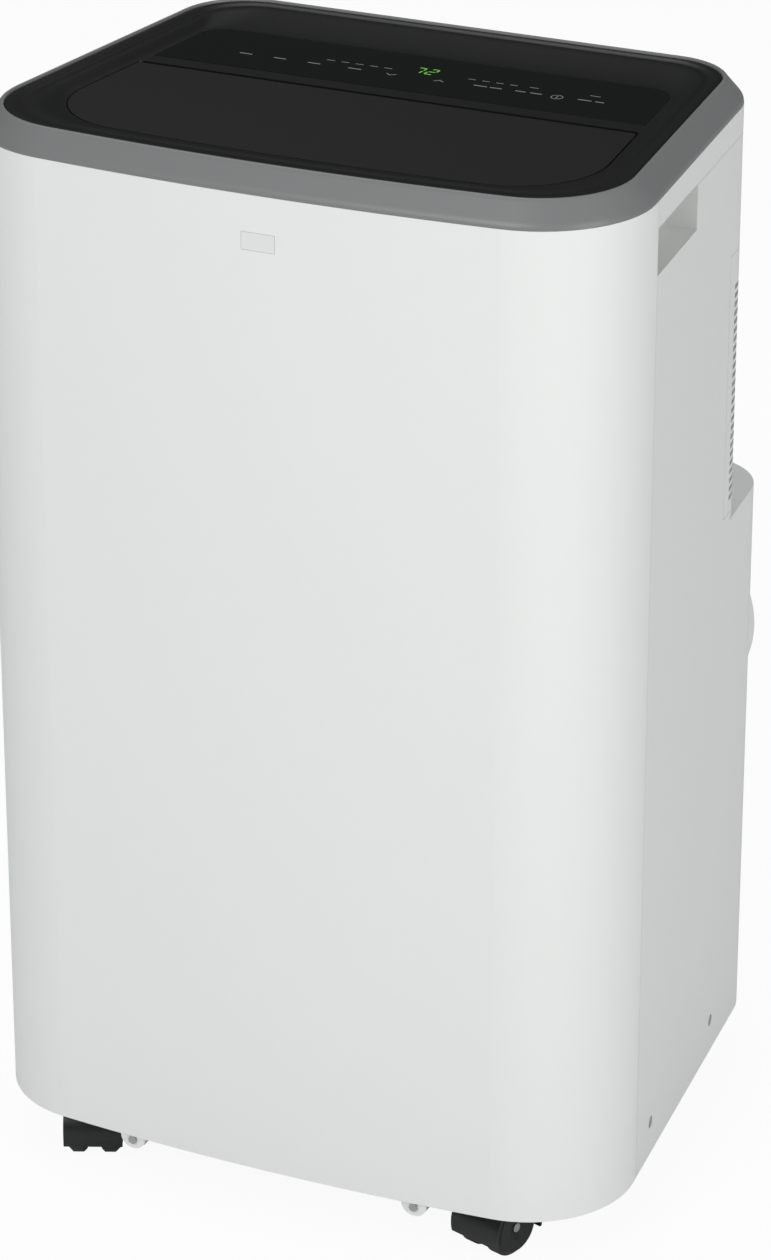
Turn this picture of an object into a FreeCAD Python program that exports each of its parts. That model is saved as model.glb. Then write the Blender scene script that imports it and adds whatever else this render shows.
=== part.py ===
import FreeCAD, Part
import math
import os
import re

import Sketcher

# Floor-standing room air conditioner on casters.  Millimetres, +Z up, front towards -Y.
# The origin is the middle of the footprint (hose collar included), on the floor.

os.makedirs("parts", exist_ok=True)
doc = FreeCAD.newDocument("RoomAirConditioner")
sheet = doc.addObject("Spreadsheet::Sheet", "Dimensions")

# ---------------------------------------------------------------- driving dimensions
DIMENSIONS = [
    # casing
    ("width", 438, "widest part of the casing, just behind the front corners"),
    ("upper_depth", 325, "front face to the upper rear wall"),
    ("lower_depth", 375, "front face to the lower rear wall"),
    ("overall_height", 715, "floor to the top of the grey trim ring"),
    ("collar_reach", 60, "how far the hose collar stands out behind"),
    ("ground_gap", 36, "floor to the casing's bottom edge"),
    ("shelf_height", 421, "floor to the step between the two rear walls"),
    ("front_bow", 14, "rise of the bowed front face"),
    ("front_radius", 72, "front corners in plan"),
    ("upper_rear_radius", 56, "upper rear corners in plan"),
    ("lower_rear_radius", 48, "lower rear corners in plan"),
    ("side_lean", 6.1, "degrees that the sides close towards the rear"),
    ("seam_depth", 92, "front face to the vertical seam on the sides"),
    ("seam_gap", 0.4, "open joint along that seam"),
    ("wall", 2.6, "moulded casing wall"),
    ("fit_gap", 0.4, "gap between a casing wall and what stands inside it"),
    ("edge_soft", 2, "rolled edge either side of the top frame's seam"),
    # top
    ("trim_height", 16, "height of the grey trim ring"),
    ("trim_inset", 12, "how far the trim ring slopes inwards"),
    ("cover_gap", 0.3, "black cover to the trim ring round it"),
    ("trim_lip", 1.5, "flat lip on top of the trim ring"),
    ("frame_height", 17, "visible skirt of the white top frame"),
    ("frame_ledge", 20, "how far the top frame reaches inwards"),
    ("cover_drop", 1, "black cover's rim below the trim ring"),
    ("cover_recess", 6, "black cover's floor below the trim ring"),
    ("cover_wall", 3.5, "thickness of the black cover's floor"),
    ("frame_lip", 7, "height of the top frame's inner ledge"),
    ("rim_front", 28, "front face to the cover's inner slope"),
    ("rim_side", 25, "side face to the cover's inner slope"),
    ("rim_rear", 23, "rear face to the cover's inner slope"),
    ("rim_corner", 6, "how much tighter than the casing the slope's front corners are"),
    ("rim_rear_corner", 22, "how much tighter than the casing the slope's rear corners are"),
    ("floor_front", 44.5, "front face to the cover's floor"),
    ("floor_side", 38, "side face to the cover's floor"),
    ("floor_rear", 61, "rear face to the cover's floor"),
    ("floor_corner", 14, "how much tighter than the casing the floor's front corners are"),
    ("floor_rear_corner", 40, "how much tighter than the casing the floor's rear corners are"),
    ("door_gap", 1.2, "slot round the louver door"),
    ("door_rear", 174, "front face to the louver door's rear edge"),
    ("door_slot", 3.5, "wide slot behind the louver door"),
    ("door_thickness", 3, "louver door"),
    ("door_rear_corner", 3, "louver door's rear corners"),
    ("hinge_radius", 1.5, "louver shaft"),
    ("running_gap", 0.05, "radial clearance of a shaft in its bore"),
    ("panel_front", 191, "front face to the glossy control panel"),
    ("panel_rear", 261, "front face to the control panel's rear edge"),
    ("panel_thickness", 1.4, "glossy control panel"),
    ("panel_corner", 18, "control panel's rear corners"),
    ("panel_proud", 0.2, "control panel above the cover's floor"),
    ("panel_gap", 0.3, "slot round the control panel"),
    ("display_front", 225, "front face to the display's opening"),
    ("display_depth", 16, "display's opening, front to rear"),
    ("display_width", 32, "display's opening, across"),
    ("board_width", 300, "control board"),
    ("board_margin", 5, "how much shorter than the panel the control board is at each edge"),
    ("board_drop", 1.4, "cover to the control board under it"),
    ("board_thickness", 1.6, "every circuit board"),
    ("window_width", 22, "receiver window"),
    ("window_height", 11, "receiver window"),
    ("window_drop", 45, "top of the trim ring down to the receiver window's centre"),
    ("window_gap", 0.2, "slot round the receiver window"),
    ("hinge_ear_inset", 41, "widest part of the side to the ears that hold the louver shaft"),
    # small fittings
    ("ear_x", 101, "middle to the front panel's screw ears"),
    ("ear_z", 35, "floor to the middle of the ears"),
    ("ear_screw_z", 32.8, "floor to the ear screws"),
    ("ear_radius", 9, "screw ear"),
    ("ear_front", 5, "front face to the ear's front"),
    ("ear_back", 8.6, "front face to the ear's back"),
    ("screw_front", 124.5, "front face to the front side screws"),
    ("screw_rear", 268, "front face to the rear side screws"),
    ("screw_z", 60, "floor to the side screws"),
    ("screw_radius", 4, "head of a side screw"),
    ("skid_x", -85, "middle of the front skid"),
    ("skid_length", 38, "front skid, across"),
    ("skid_front", 30, "front face to the front skid"),
    ("skid_width", 16, "front skid, front to rear"),
    ("skid_low", 18, "floor to the front skid"),
    ("skid_bevel", 3, "bevel under the front skid"),
    ("gland_x", 60, "cord gland"),
    ("gland_z", 100, "cord gland"),
    ("gland_radius", 8, "cord gland's barrel"),
    ("drain_x", 0, "drain spout"),
    ("drain_z", 67, "drain spout"),
    ("drain_radius", 9, "drain spout's outside"),
    ("drain_collar", 11, "radius of the spout's root, through the casing"),
    ("drain_reach", 12, "how far the drain spout stands out behind"),
    ("drain_wall", 2.5, "drain spout"),
    ("socket_radius", 12, "caster socket"),
    # hand grips
    ("grip_rear", 178, "front face to the grip pocket's rear end"),
    ("grip_height", 30, "grip pocket below the top frame"),
    ("grip_reach", 28, "depth of the grip pocket"),
    # upper rear intake
    ("intake_front", 262, "front face to the upper intake grille's edge"),
    ("intake_low", 427, "floor to the upper intake grille"),
    ("intake_high", 606, "floor to the upper intake grille's top"),
    ("slot_pitch", 6, "one slat and one slot"),
    ("slot_height", 3.4, "slot between two slats"),
    ("upper_slots", 25, "rows of slots in the upper grille"),
    # lower rear intake
    ("vent_left", -138, "lower intake grille's left edge"),
    ("vent_right", -6, "lower intake grille's right edge"),
    ("vent_low", 84, "floor to the lower intake grille"),
    ("vent_high", 384, "floor to the lower intake grille's top"),
    ("lower_slots", 46, "rows of slots in the lower grille"),
    # hose port
    ("port_x", 88, "hose port's centre to the right of the middle"),
    ("port_z", 276, "hose port's centre above the floor"),
    ("collar_radius", 72, "radius outside the hose collar"),
    ("collar_wall", 5, "hose collar"),
    ("port_wall", 4, "port's inner tube, under the collar"),
    ("port_rim", 6, "port's flange beyond the collar"),
    # base, deck and casters
    ("base_wall", 3, "base pan thickness"),
    ("base_rim_low", 46, "bottom of the base pan's rim"),
    ("base_rim_high", 78, "top of the base pan's rim"),
    ("deck_level", 396, "floor to the underside of the drain deck"),
    ("front_caster_inset", 69, "side to the front swivel axes"),
    ("front_caster_depth", 45, "front face to the front swivel axes"),
    ("rear_caster_inset", 79, "widest part of the side to the rear swivel axes"),
    ("rear_caster_depth", 320, "front face to the rear swivel axes"),
    ("wheel_radius", 20, "caster wheel"),
    ("wheel_width", 13, "caster wheel"),
    ("wheel_spacing", 10, "gap between a caster's two wheels"),
    ("axle_radius", 3, "caster axle"),
    ("caster_trail", 12, "swivel axis to wheel axle"),
    ("stem_radius", 5, "caster stem"),
    ("hood_gap", 1, "wheel to the hood over it"),
    ("hood_wall", 1.5, "caster hood"),
    ("caster_headroom", 9.5, "caster's hood to the base pan"),
    ("flange_thickness", 3, "caster socket's flange"),
    # fans
    ("upper_fan_z", 515, "evaporator fan's axis"),
    ("upper_fan_radius", 88, "evaporator fan wheel"),
    ("upper_fan_width", 60, "evaporator fan wheel"),
    ("upper_scroll_radius", 108, "evaporator fan housing"),
    ("upper_scroll_front", 108, "front face to the evaporator fan housing"),
    ("upper_scroll_rear", 200, "front face to the evaporator fan housing's rear"),
    ("upper_motor_radius", 42, "evaporator fan motor"),
    ("upper_motor_length", 42, "evaporator fan motor"),
    ("lower_fan_x", 75, "condenser fan's axis"),
    ("lower_fan_z", 160, "condenser fan's axis"),
    ("lower_fan_radius", 78, "condenser fan wheel"),
    ("lower_fan_width", 50, "condenser fan wheel"),
    ("lower_scroll_radius", 95, "condenser fan housing"),
    ("lower_scroll_front", 240, "front face to the condenser fan housing"),
    ("lower_scroll_rear", 325, "front face to the condenser fan housing's rear"),
    ("lower_motor_radius", 34, "condenser fan motor"),
    ("lower_motor_gap", 13, "condenser fan motor to the rear face"),
    ("scroll_wall", 2.5, "fan housings and outlet duct"),
    ("inlet_step", 14, "how much smaller than its wheel a housing's inlet is"),
    ("duct_width", 324, "outlet duct's mouth under the louver door"),
    ("duct_front", 58, "front face to the outlet duct's mouth"),
    ("duct_rear", 163, "front face to the outlet duct's mouth, rear edge"),
    ("duct_rise", 125, "evaporator fan's axis to the foot of the outlet duct"),
    ("guard_height", 3, "finger guard"),
    ("guard_pitch", 24, "finger guard's bars"),
    ("guard_bars", 13, "bars in the finger guard"),
    ("motor_shaft", 4, "fan motor shaft radius"),
    ("blade_count", 30, "blades in each fan wheel"),
    # refrigeration
    ("compressor_x", -95, "compressor's axis"),
    ("compressor_depth", 150, "front face to the compressor's axis"),
    ("compressor_radius", 58, "compressor can"),
    ("compressor_top", 275, "floor to the top of the compressor"),
    ("grommet_height", 13, "compressor's rubber feet"),
    ("accumulator_radius", 22, "accumulator"),
    ("accumulator_low", 120, "floor to the accumulator"),
    ("accumulator_high", 260, "floor to the accumulator's top"),
    ("coil_thickness", 28, "evaporator and condenser fin packs"),
    ("coil_left", -138, "left end of both fin packs"),
    ("evaporator_right", 138, "right end of the evaporator"),
    ("condenser_right", -32, "right end of the condenser"),
    ("evaporator_depth", 262, "front face to the evaporator"),
    ("condenser_depth", 332, "front face to the condenser"),
    ("evaporator_lift", 9, "drain deck to the evaporator"),
    ("condenser_lift", 11, "base pan to the condenser"),
    ("suction_radius", 5, "suction pipe"),
    ("discharge_radius", 4, "discharge pipe"),
    ("capillary_radius", 2, "capillary tube"),
    ("suction_depth", 285, "front face to the suction pipe"),
    ("capillary_depth", 240, "front face to the capillary tube"),
    ("capillary_x", -60, "capillary tube"),
    ("capillary_low", 350, "floor to the capillary tube's lower run"),
    ("tube_radius", 4, "heat exchanger tube"),
    ("box_width", 200, "electric box"),
    ("box_front", 21, "front face to the electric box's cover"),
    ("box_depth", 39, "electric box with its cover"),
    ("box_height", 185, "electric box"),
    ("box_lift", 6, "drain deck to the electric box"),
    ("box_wall", 2, "electric box and its cover"),
    ("capacitor_radius", 15, "run capacitor"),
    ("capacitor_height", 72, "run capacitor"),
]
for row, (alias, amount, meaning) in enumerate(DIMENSIONS, start=1):
    sheet.set(f"A{row}", alias)
    sheet.set(f"B{row}", str(amount))
    sheet.setAlias(f"B{row}", alias)
    sheet.set(f"C{row}", meaning)
doc.recompute()

# ---------------------------------------------------------------- expressions
WORD = re.compile(r"\b([a-z][a-z0-9_]*)\b(?!\s*\()")
TURN_TO = {
    "x": FreeCAD.Rotation(FreeCAD.Vector(0, 1, 0), 90),
    "y": FreeCAD.Rotation(FreeCAD.Vector(1, 0, 0), -90),
    "z": FreeCAD.Rotation(),
}


def cell(text):
    """The expression with every word turned into a reference to the sheet."""
    return WORD.sub(r"Dimensions.\1", str(text))


def value(text):
    """The expression's present value."""
    return float(sheet.evalExpression(cell(text)))


def behind(text):
    """The y place that lies the given distance behind the front face."""
    return f"(0 - (lower_depth + collar_reach) / 2 + ({text}))"


SHELL_TOP = "(overall_height - trim_height)"
FRAME_LOW = f"({SHELL_TOP} - frame_height)"
COVER_FLOOR = "(overall_height - cover_recess)"
COVER_INSET = "(trim_inset + trim_lip + cover_gap)"
WINDOW_LEVEL = "(overall_height - window_drop)"
HINGE_Y = behind("door_rear - 2 * hinge_radius")
HINGE_Z = f"({COVER_FLOOR} - 2 * hinge_radius)"
REAR_WALL = behind("lower_depth")
BOW = "(((width / 2)^2 + front_bow^2) / (2 * front_bow))"
CORNER_X = "(width / 2 - front_radius)"
CORNER_Y = behind(f"{BOW} - sqrt(({BOW} - front_radius)^2 - {CORNER_X}^2)")
BASE_FLOOR = "(2 * wheel_radius + hood_gap + hood_wall + caster_headroom)"
HINGE_EAR_X = "(width / 2 - hinge_ear_inset)"
BASE_TOP = f"({BASE_FLOOR} + base_wall)"
COLLAR_BORE = "(collar_radius - collar_wall)"
PORT_BORE = f"({COLLAR_BORE} - port_wall)"
PORT_FLANGE = "(collar_radius + port_rim)"
DUCT_LOW = "(upper_fan_z + duct_rise)"
ACCUMULATOR_X = "(compressor_x - compressor_radius - accumulator_radius - 0.1)"
DECK_TOP = "(deck_level + base_wall)"


def side_face(y):
    """The x place of the right side's outer face at the given y; the side closes rearwards."""
    return f"({CORNER_X} + front_radius / cos(side_lean) - tan(side_lean) * ({y} - {CORNER_Y}))"


# ---------------------------------------------------------------- building helpers
def place(item, x="0", y="0", z="0"):
    for axis, text in (("x", x), ("y", y), ("z", z)):
        item.setExpression("Placement.Base." + axis, cell(text))
    return item


def block(name, x, y, z):
    """Box between pairs of low and high expressions."""
    item = doc.addObject("Part::Box", name)
    for prop, (low, high) in (("Length", x), ("Width", y), ("Height", z)):
        item.setExpression(prop, cell(f"({high}) - ({low})"))
    return place(item, x[0], y[0], z[0])


def rod(name, along, radius, low, high, across):
    """Cylinder along an axis from low to high; across is its place on the other two axes."""
    item = doc.addObject("Part::Cylinder", name)
    item.Placement.Rotation = TURN_TO[along]
    item.setExpression("Radius", cell(radius))
    item.setExpression("Height", cell(f"({high}) - ({low})"))
    spot = dict(zip([axis for axis in "xyz" if axis != along], across))
    spot[along] = low
    return place(item, **spot)


def fuse(name, *items):
    item = doc.addObject("Part::MultiFuse", name)
    item.Shapes = list(items)
    return item


def common(name, *items):
    item = doc.addObject("Part::MultiCommon", name)
    item.Shapes = list(items)
    return item


def cut(name, base, *tools):
    item = doc.addObject("Part::Cut", name)
    item.Base = base
    item.Tool = tools[0] if len(tools) == 1 else fuse(name + "_tools", *tools)
    return item


def group(name, *items):
    """Several separate solids in one node, such as identical fasteners."""
    item = doc.addObject("Part::Compound", name)
    item.Links = list(items)
    return item


def mirrored(name, source):
    item = doc.addObject("Part::Mirroring", name)
    item.Source = source
    item.Normal = FreeCAD.Vector(1, 0, 0)
    return item


def line(start, end):
    return Part.LineSegment(FreeCAD.Vector(*start, 0), FreeCAD.Vector(*end, 0))


def arc(centre, radius, start, end):
    circle = Part.Circle(FreeCAD.Vector(*centre, 0), FreeCAD.Vector(0, 0, 1), radius)
    return Part.ArcOfCircle(circle, start, end)


def casing_outline(name, depth, level, front, side, rear, front_corner, rear_corner):
    """Plan of the casing, set in by front, side and rear: bowed front, sides that close
    towards the rear, and tangent corner arcs.  Every argument is an expression."""
    bow_text = f"{BOW} - ({front})"
    bow = value(bow_text)
    bow_y = value(behind(BOW))
    lean = math.radians(value("side_lean"))
    out = FreeCAD.Vector(math.cos(lean), math.sin(lean))
    back = FreeCAD.Vector(-math.sin(lean), math.cos(lean))
    # the point where the casing's own front corner ends, moved in from the side
    corner_centre = FreeCAD.Vector(value(CORNER_X), value(CORNER_Y))
    on_side = corner_centre + out * (value("front_radius") - value(side))
    # front corner: tangent to the bowed front and to the side
    corner = value(front_corner)
    base = on_side - out * corner - FreeCAD.Vector(0, bow_y)
    slope = base.dot(back)
    along = -slope - math.sqrt(slope ** 2 - base.dot(base) + (bow - corner) ** 2)
    front_centre = on_side - out * corner + back * along
    # rear corner: tangent to the side and to the rear wall
    round_rear = value(rear_corner)
    rear_y = value(behind(f"({depth}) - ({rear})"))
    foot = on_side - out * round_rear
    rear_centre = foot + back * ((rear_y - round_rear - foot.y) / back.y)
    swing = math.atan2(front_centre.y - bow_y, front_centre.x)
    quarter = math.pi / 2
    side_start = front_centre + out * corner
    side_end = rear_centre + out * round_rear
    geometry = [
        arc((0, bow_y), bow, -math.pi - swing, swing),
        arc((front_centre.x, front_centre.y), corner, swing, lean),
        line((side_start.x, side_start.y), (side_end.x, side_end.y)),
        arc((rear_centre.x, rear_centre.y), round_rear, lean, quarter),
        line((rear_centre.x, rear_y), (-rear_centre.x, rear_y)),
        arc((-rear_centre.x, rear_centre.y), round_rear, quarter, math.pi - lean),
        line((-side_end.x, side_end.y), (-side_start.x, side_start.y)),
        arc((-front_centre.x, front_centre.y), corner, math.pi - lean, -math.pi - swing),
    ]
    sketch = doc.addObject("Sketcher::SketchObject", name)
    sketch.addGeometry(geometry, False)
    for number in range(8):
        sketch.addConstraint(Sketcher.Constraint("Tangent", number, 2, (number + 1) % 8, 1))
    radii = ((0, "bow", bow_text), (1, "right_front", front_corner), (7, "left_front", front_corner),
             (3, "right_rear", rear_corner), (5, "left_rear", rear_corner))
    for number, label, text in radii:
        index = sketch.addConstraint(Sketcher.Constraint("Radius", number, value(text)))
        sketch.renameConstraint(index, label)
        sketch.setExpression("Constraints." + label, cell(text))
    return place(sketch, z=level)


def plan(name, depth, level, inset="0"):
    """Casing outline set in evenly."""
    rear = "upper_rear_radius" if depth == "upper_depth" else "lower_rear_radius"
    corners = (f"front_radius - ({inset})", f"{rear} - ({inset})")
    return casing_outline(name, depth, level, inset, inset, inset, *corners)


def raise_sketch(name, sketch, height):
    item = doc.addObject("Part::Extrusion", name)
    item.Base = sketch
    item.DirMode = "Custom"
    item.Dir = FreeCAD.Vector(0, 0, 1)
    item.setExpression("LengthFwd", cell(height))
    item.Solid = True
    return item


def slab(name, depth, inset, low, high):
    """Solid of the casing's plan between two levels."""
    sketch = plan(name + "_outline", depth, low, inset)
    return raise_sketch(name, sketch, f"({high}) - ({low})")


def ring(name, depth, inset, thickness, low, high):
    """Wall that follows the casing's plan."""
    outer = slab(name + "_outer", depth, inset, low, high)
    inner = slab(name + "_inner", depth, f"({inset}) + ({thickness})", low, high)
    return cut(name, outer, inner)


def blend(name, lower, upper):
    """Solid with straight sides between two outlines of the same kind."""
    item = doc.addObject("Part::Loft", name)
    item.Sections = [lower, upper]
    item.Solid = True
    item.Ruled = True
    return item


WIDE = ("0 - width", "width")
FLOOR_CORNERS = ("front_radius - floor_corner", "upper_rear_radius - floor_rear_corner")
AHEAD_OF_SEAM = (behind("0 - 50"), behind("seam_depth - seam_gap / 2"))
BEHIND_SEAM = (behind("seam_depth + seam_gap / 2"), behind("lower_depth + 50"))
nodes = {}


def node(name, item):
    """Register a finished sub-part under the name of its file."""
    item.Label = name
    nodes[name] = item
    return item


def body_origin_plane(body, role):
    return next(item for item in body.Origin.OriginFeatures if item.Role == role)


def body_sketch(body, name, role, points):
    """Closed polygon in a body's origin plane, each corner held by two expressions."""
    sketch = body.newObject("Sketcher::SketchObject", name)
    sketch.AttachmentSupport = [(body_origin_plane(body, role), "")]
    sketch.MapMode = "FlatFace"
    spots = [(value(across), value(up)) for across, up in points]
    count = len(spots)
    sketch.addGeometry([line(spots[i], spots[(i + 1) % count]) for i in range(count)], False)
    for number in range(count):
        after = (number + 1) % count
        sketch.addConstraint(Sketcher.Constraint("Coincident", number, 2, after, 1))
    for number, (spot, texts) in enumerate(zip(spots, points)):
        for kind, axis, amount, text in (("DistanceX", -2, spot[0], texts[0]),
                                         ("DistanceY", -1, spot[1], texts[1])):
            if abs(amount) < 1e-9:
                sketch.addConstraint(Sketcher.Constraint("PointOnObject", number, 1, axis))
                continue
            index = sketch.addConstraint(Sketcher.Constraint(kind, -1, 1, number, 1, amount))
            sketch.renameConstraint(index, f"{kind}{number}")
            sketch.setExpression(f"Constraints.{kind}{number}", cell(text))
    return sketch


def turned(name, along, profile, x="0", y="0", z="0"):
    """Body revolved from a profile of (radius, distance along the axis) expressions."""
    body = doc.addObject("PartDesign::Body", name)
    sketch = body_sketch(body, name + "_profile", "XZ_Plane", profile)
    revolution = body.newObject("PartDesign::Revolution", name + "_turn")
    revolution.Profile = sketch
    revolution.ReferenceAxis = (sketch, ["V_Axis"])
    revolution.Angle = 360
    body.Placement.Rotation = TURN_TO[along]
    return place(body, x, y, z)


# ---------------------------------------------------------------- casing
def soft_top(name, depth, level):
    """Topmost strip of a wall whose outer edge is rolled inwards."""
    lower = plan(name + "_low", depth, f"({level}) - edge_soft", "0")
    upper = plan(name + "_high", depth, level, "edge_soft / 2")
    return blend(name, lower, upper)


def make_front_panel():
    wall = ring("panel_wall", "upper_depth", "0", "wall", "ground_gap", SHELL_TOP)
    window = block("panel_window", ("0 - window_width / 2 - window_gap", "window_width / 2 + window_gap"),
                   (behind("0 - 5"), behind("wall + 5")),
                   (f"{WINDOW_LEVEL} - window_height / 2 - window_gap",
                    f"{WINDOW_LEVEL} + window_height / 2 + window_gap"))
    front = common("panel_front_half", wall, block("panel_half", WIDE, AHEAD_OF_SEAM, ("0", SHELL_TOP)))
    pieces = [cut("panel_opened", front, window)]
    for side, x in (("left", "0 - ear_x"), ("right", "ear_x")):
        ear = rod(f"ear_{side}", "y", "ear_radius", behind("ear_front"), behind("ear_back"), (x, "ear_z"))
        hole = rod(f"ear_hole_{side}", "y", "2.2", behind("0"), behind("ear_back + 1"), (x, "ear_screw_z"))
        pieces.append(cut(f"ear_drilled_{side}", ear, hole))
    return node("front_panel", fuse("front_panel", *pieces))


def make_receiver_window():
    wall = ring("window_wall", "upper_depth", "0", "wall",
                f"{WINDOW_LEVEL} - window_height / 2", f"{WINDOW_LEVEL} + window_height / 2")
    patch = block("window_patch", ("0 - window_width / 2", "window_width / 2"),
                  (behind("0 - 5"), behind("wall + 5")), ("ground_gap", SHELL_TOP))
    return node("receiver_window", common("receiver_window", wall, patch))


def grip_pocket(side, sign):
    """Cut and cup of one hand grip; sign is + on the right and - on the left."""
    edges = [f"{sign} (width / 2 - grip_reach - 8)", f"{sign} (width / 2 + 5)"]
    mouth = edges if sign == "0 +" else edges[::-1]
    opening = block(f"grip_opening_{side}", mouth, (behind("seam_depth - 1"), behind("grip_rear")),
                    (f"{FRAME_LOW} - grip_height", f"{FRAME_LOW} + 1"))
    edges = [f"{sign} (width / 2 - grip_reach - 8 - wall)", f"{sign} (width / 2 + 5)"]
    reach = edges if sign == "0 +" else edges[::-1]
    outside = block(f"grip_outside_{side}", reach,
                    (behind("seam_depth + seam_gap / 2"), behind("grip_rear + wall")),
                    (f"{FRAME_LOW} - grip_height - wall", FRAME_LOW))
    hollow = block(f"grip_hollow_{side}", mouth,
                   (behind("seam_depth + seam_gap / 2 + wall"), behind("grip_rear")),
                   (f"{FRAME_LOW} - grip_height", f"{FRAME_LOW} + 1"))
    body = slab(f"grip_limit_{side}", "upper_depth", "wall / 2", f"{FRAME_LOW} - grip_height - 10", FRAME_LOW)
    cup = common(f"grip_cup_{side}", cut(f"grip_shell_{side}", outside, hollow), body)
    return opening, cup


def make_rear_casing():
    lower = ring("casing_lower", "lower_depth", "0", "wall", "ground_gap", "shelf_height")
    upper = ring("casing_upper", "upper_depth", "0", "wall", "shelf_height", f"{FRAME_LOW} - edge_soft")
    crest = cut("casing_crest", soft_top("casing_crest_solid", "upper_depth", FRAME_LOW),
                slab("casing_crest_inner", "upper_depth", "wall",
                     f"{FRAME_LOW} - edge_soft - 1", f"{FRAME_LOW} + 1"))
    shelf = cut("casing_shelf", slab("shelf_plate", "lower_depth", "0", "shelf_height - wall", "shelf_height"),
                slab("shelf_hole", "upper_depth", "wall", "shelf_height - 2 * wall", "shelf_height + 1"))
    walls = common("casing_walls", fuse("casing_shell", lower, upper, crest, shelf),
                   block("casing_half", WIDE, BEHIND_SEAM, ("0", "overall_height")))
    grips = [grip_pocket("right", "0 +"), grip_pocket("left", "0 -")]
    cuts = [
        block("upper_opening", WIDE, (behind("intake_front"), behind("upper_depth + 9")),
              ("intake_low", "intake_high")),
        block("lower_opening", ("vent_left", "vent_right"), (behind("lower_depth - 9"), behind("lower_depth + 9")),
              ("vent_low", "vent_high")),
        rod("port_opening", "y", f"{PORT_FLANGE} + fit_gap", behind("lower_depth - 30"),
            behind("lower_depth + 9"), ("port_x", "port_z")),
        rod("gland_opening", "y", "gland_radius + 0.2", behind("lower_depth - 9"),
            behind("lower_depth + 9"), ("gland_x", "gland_z")),
        rod("drain_opening", "y", "drain_collar + fit_gap", behind("lower_depth - 9"),
            behind("lower_depth + 9"), ("drain_x", "drain_z")),
    ]
    for label, place_y in SCREW_ROWS:
        cuts.append(rod(f"screw_holes_{label}", "x", "screw_radius + 0.2", "0 - width", "width",
                        (place_y, "screw_z")))
    opened = cut("casing_opened", walls, *cuts, *[opening for opening, cup in grips])
    return node("rear_casing", fuse("rear_casing", opened, *[cup for opening, cup in grips]))


def make_casing_screws():
    """Recessed screws low on each side, and the two that hold the front panel's ears."""
    side_screws = []
    for label, place_y in SCREW_ROWS:
        across = (place_y, "screw_z")
        face = side_face(place_y)
        seat = f"{face} - wall + 0.5"
        head = rod(f"screw_head_{label}", "x", "screw_radius", seat, f"{face} - 0.9", across)
        shank = rod(f"screw_shank_{label}", "x", "1.6", f"{face} - wall - 12", seat, across)
        screw = fuse(f"screw_{label}", head, shank)
        side_screws += [screw, mirrored(f"screw_{label}_left", screw)]
    node("casing_screws", group("casing_screws", *side_screws))
    ear_screws = []
    for side, x in (("left", "0 - ear_x"), ("right", "ear_x")):
        across = (x, "ear_screw_z")
        head = rod(f"ear_screw_head_{side}", "y", "2.9", behind("ear_front - 1.6"), behind("ear_front"), across)
        shank = rod(f"ear_screw_shank_{side}", "y", "1.8", behind("ear_front"), behind("ear_back + 12"), across)
        ear_screws.append(fuse(f"ear_screw_{side}", head, shank))
    node("panel_screws", group("panel_screws", *ear_screws))


def slotted(name, wall, first, count, front, posts, post_low, post_high, thickness_limit):
    """Wall with rows of slots, and upright posts left across them."""
    slots = []
    for row in range(int(value(count))):
        low = f"{first} + {row} * slot_pitch"
        slots.append(block(f"{name}_slot_{row}", WIDE, (front, thickness_limit), (low, f"{low} + slot_height")))
    bars = []
    for number, x in enumerate(posts):
        bar = block(f"{name}_bar_{number}", (f"{x} - 2.5", f"{x} + 2.5"), (front, thickness_limit),
                    (post_low, post_high))
        bars.append(bar)
    kept = common(f"{name}_posts", wall, fuse(f"{name}_bars", *bars))
    return fuse(name, cut(f"{name}_rows", wall, *slots), kept)


def make_upper_intake():
    wall = common("upper_grille_wall",
                  ring("upper_grille_ring", "upper_depth", "0", "wall", "intake_low + fit_gap",
                       "intake_high - fit_gap"),
                  block("upper_grille_half", WIDE, (behind("intake_front + fit_gap"), behind("upper_depth + 9")),
                        ("0", "overall_height")))
    grille = slotted("upper_intake_grille", wall, "intake_low + 9", "upper_slots", behind("intake_front + 12"),
                     ["0 - 182", "0 - 140", "0 - 84", "0 - 28", "28", "84", "140", "182"],
                     "intake_low + 1", "intake_high - 1", behind("upper_depth + 9"))
    node("upper_intake_grille", grille)
    screen = block("upper_filter_mesh", ("0 - 138", "138"),
                   (behind("upper_depth - wall - 6"), behind("upper_depth - wall")),
                   ("intake_low + 6", "intake_high - 6"))
    node("upper_filter_mesh", screen)


def make_lower_intake():
    wall = block("lower_grille_wall", ("vent_left + fit_gap", "vent_right - fit_gap"),
                 (behind("lower_depth - wall"), REAR_WALL), ("vent_low + fit_gap", "vent_high - fit_gap"))
    middle = "(vent_left + vent_right) / 2"
    inner = [f"{middle} - 31", f"{middle}", f"{middle} + 31"]
    edge = [f"vent_left + fit_gap + {place_x}" for place_x in (2.5, 7)]
    edge += [f"vent_right - fit_gap - {place_x}" for place_x in (2.5, 7)]
    grille = slotted("lower_intake_grille", wall, "vent_low + 12", "lower_slots", behind("lower_depth - 9"),
                     inner + edge, "vent_low + 1", "vent_high - 1", behind("lower_depth + 9"))
    node("lower_intake_grille", grille)
    screen = block("lower_filter_mesh", ("vent_left + 8", "vent_right - 8"),
                   (behind("lower_depth - wall - 5"), behind("lower_depth - wall")),
                   ("vent_low + 8", "vent_high - 8"))
    node("lower_filter_mesh", screen)


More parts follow.
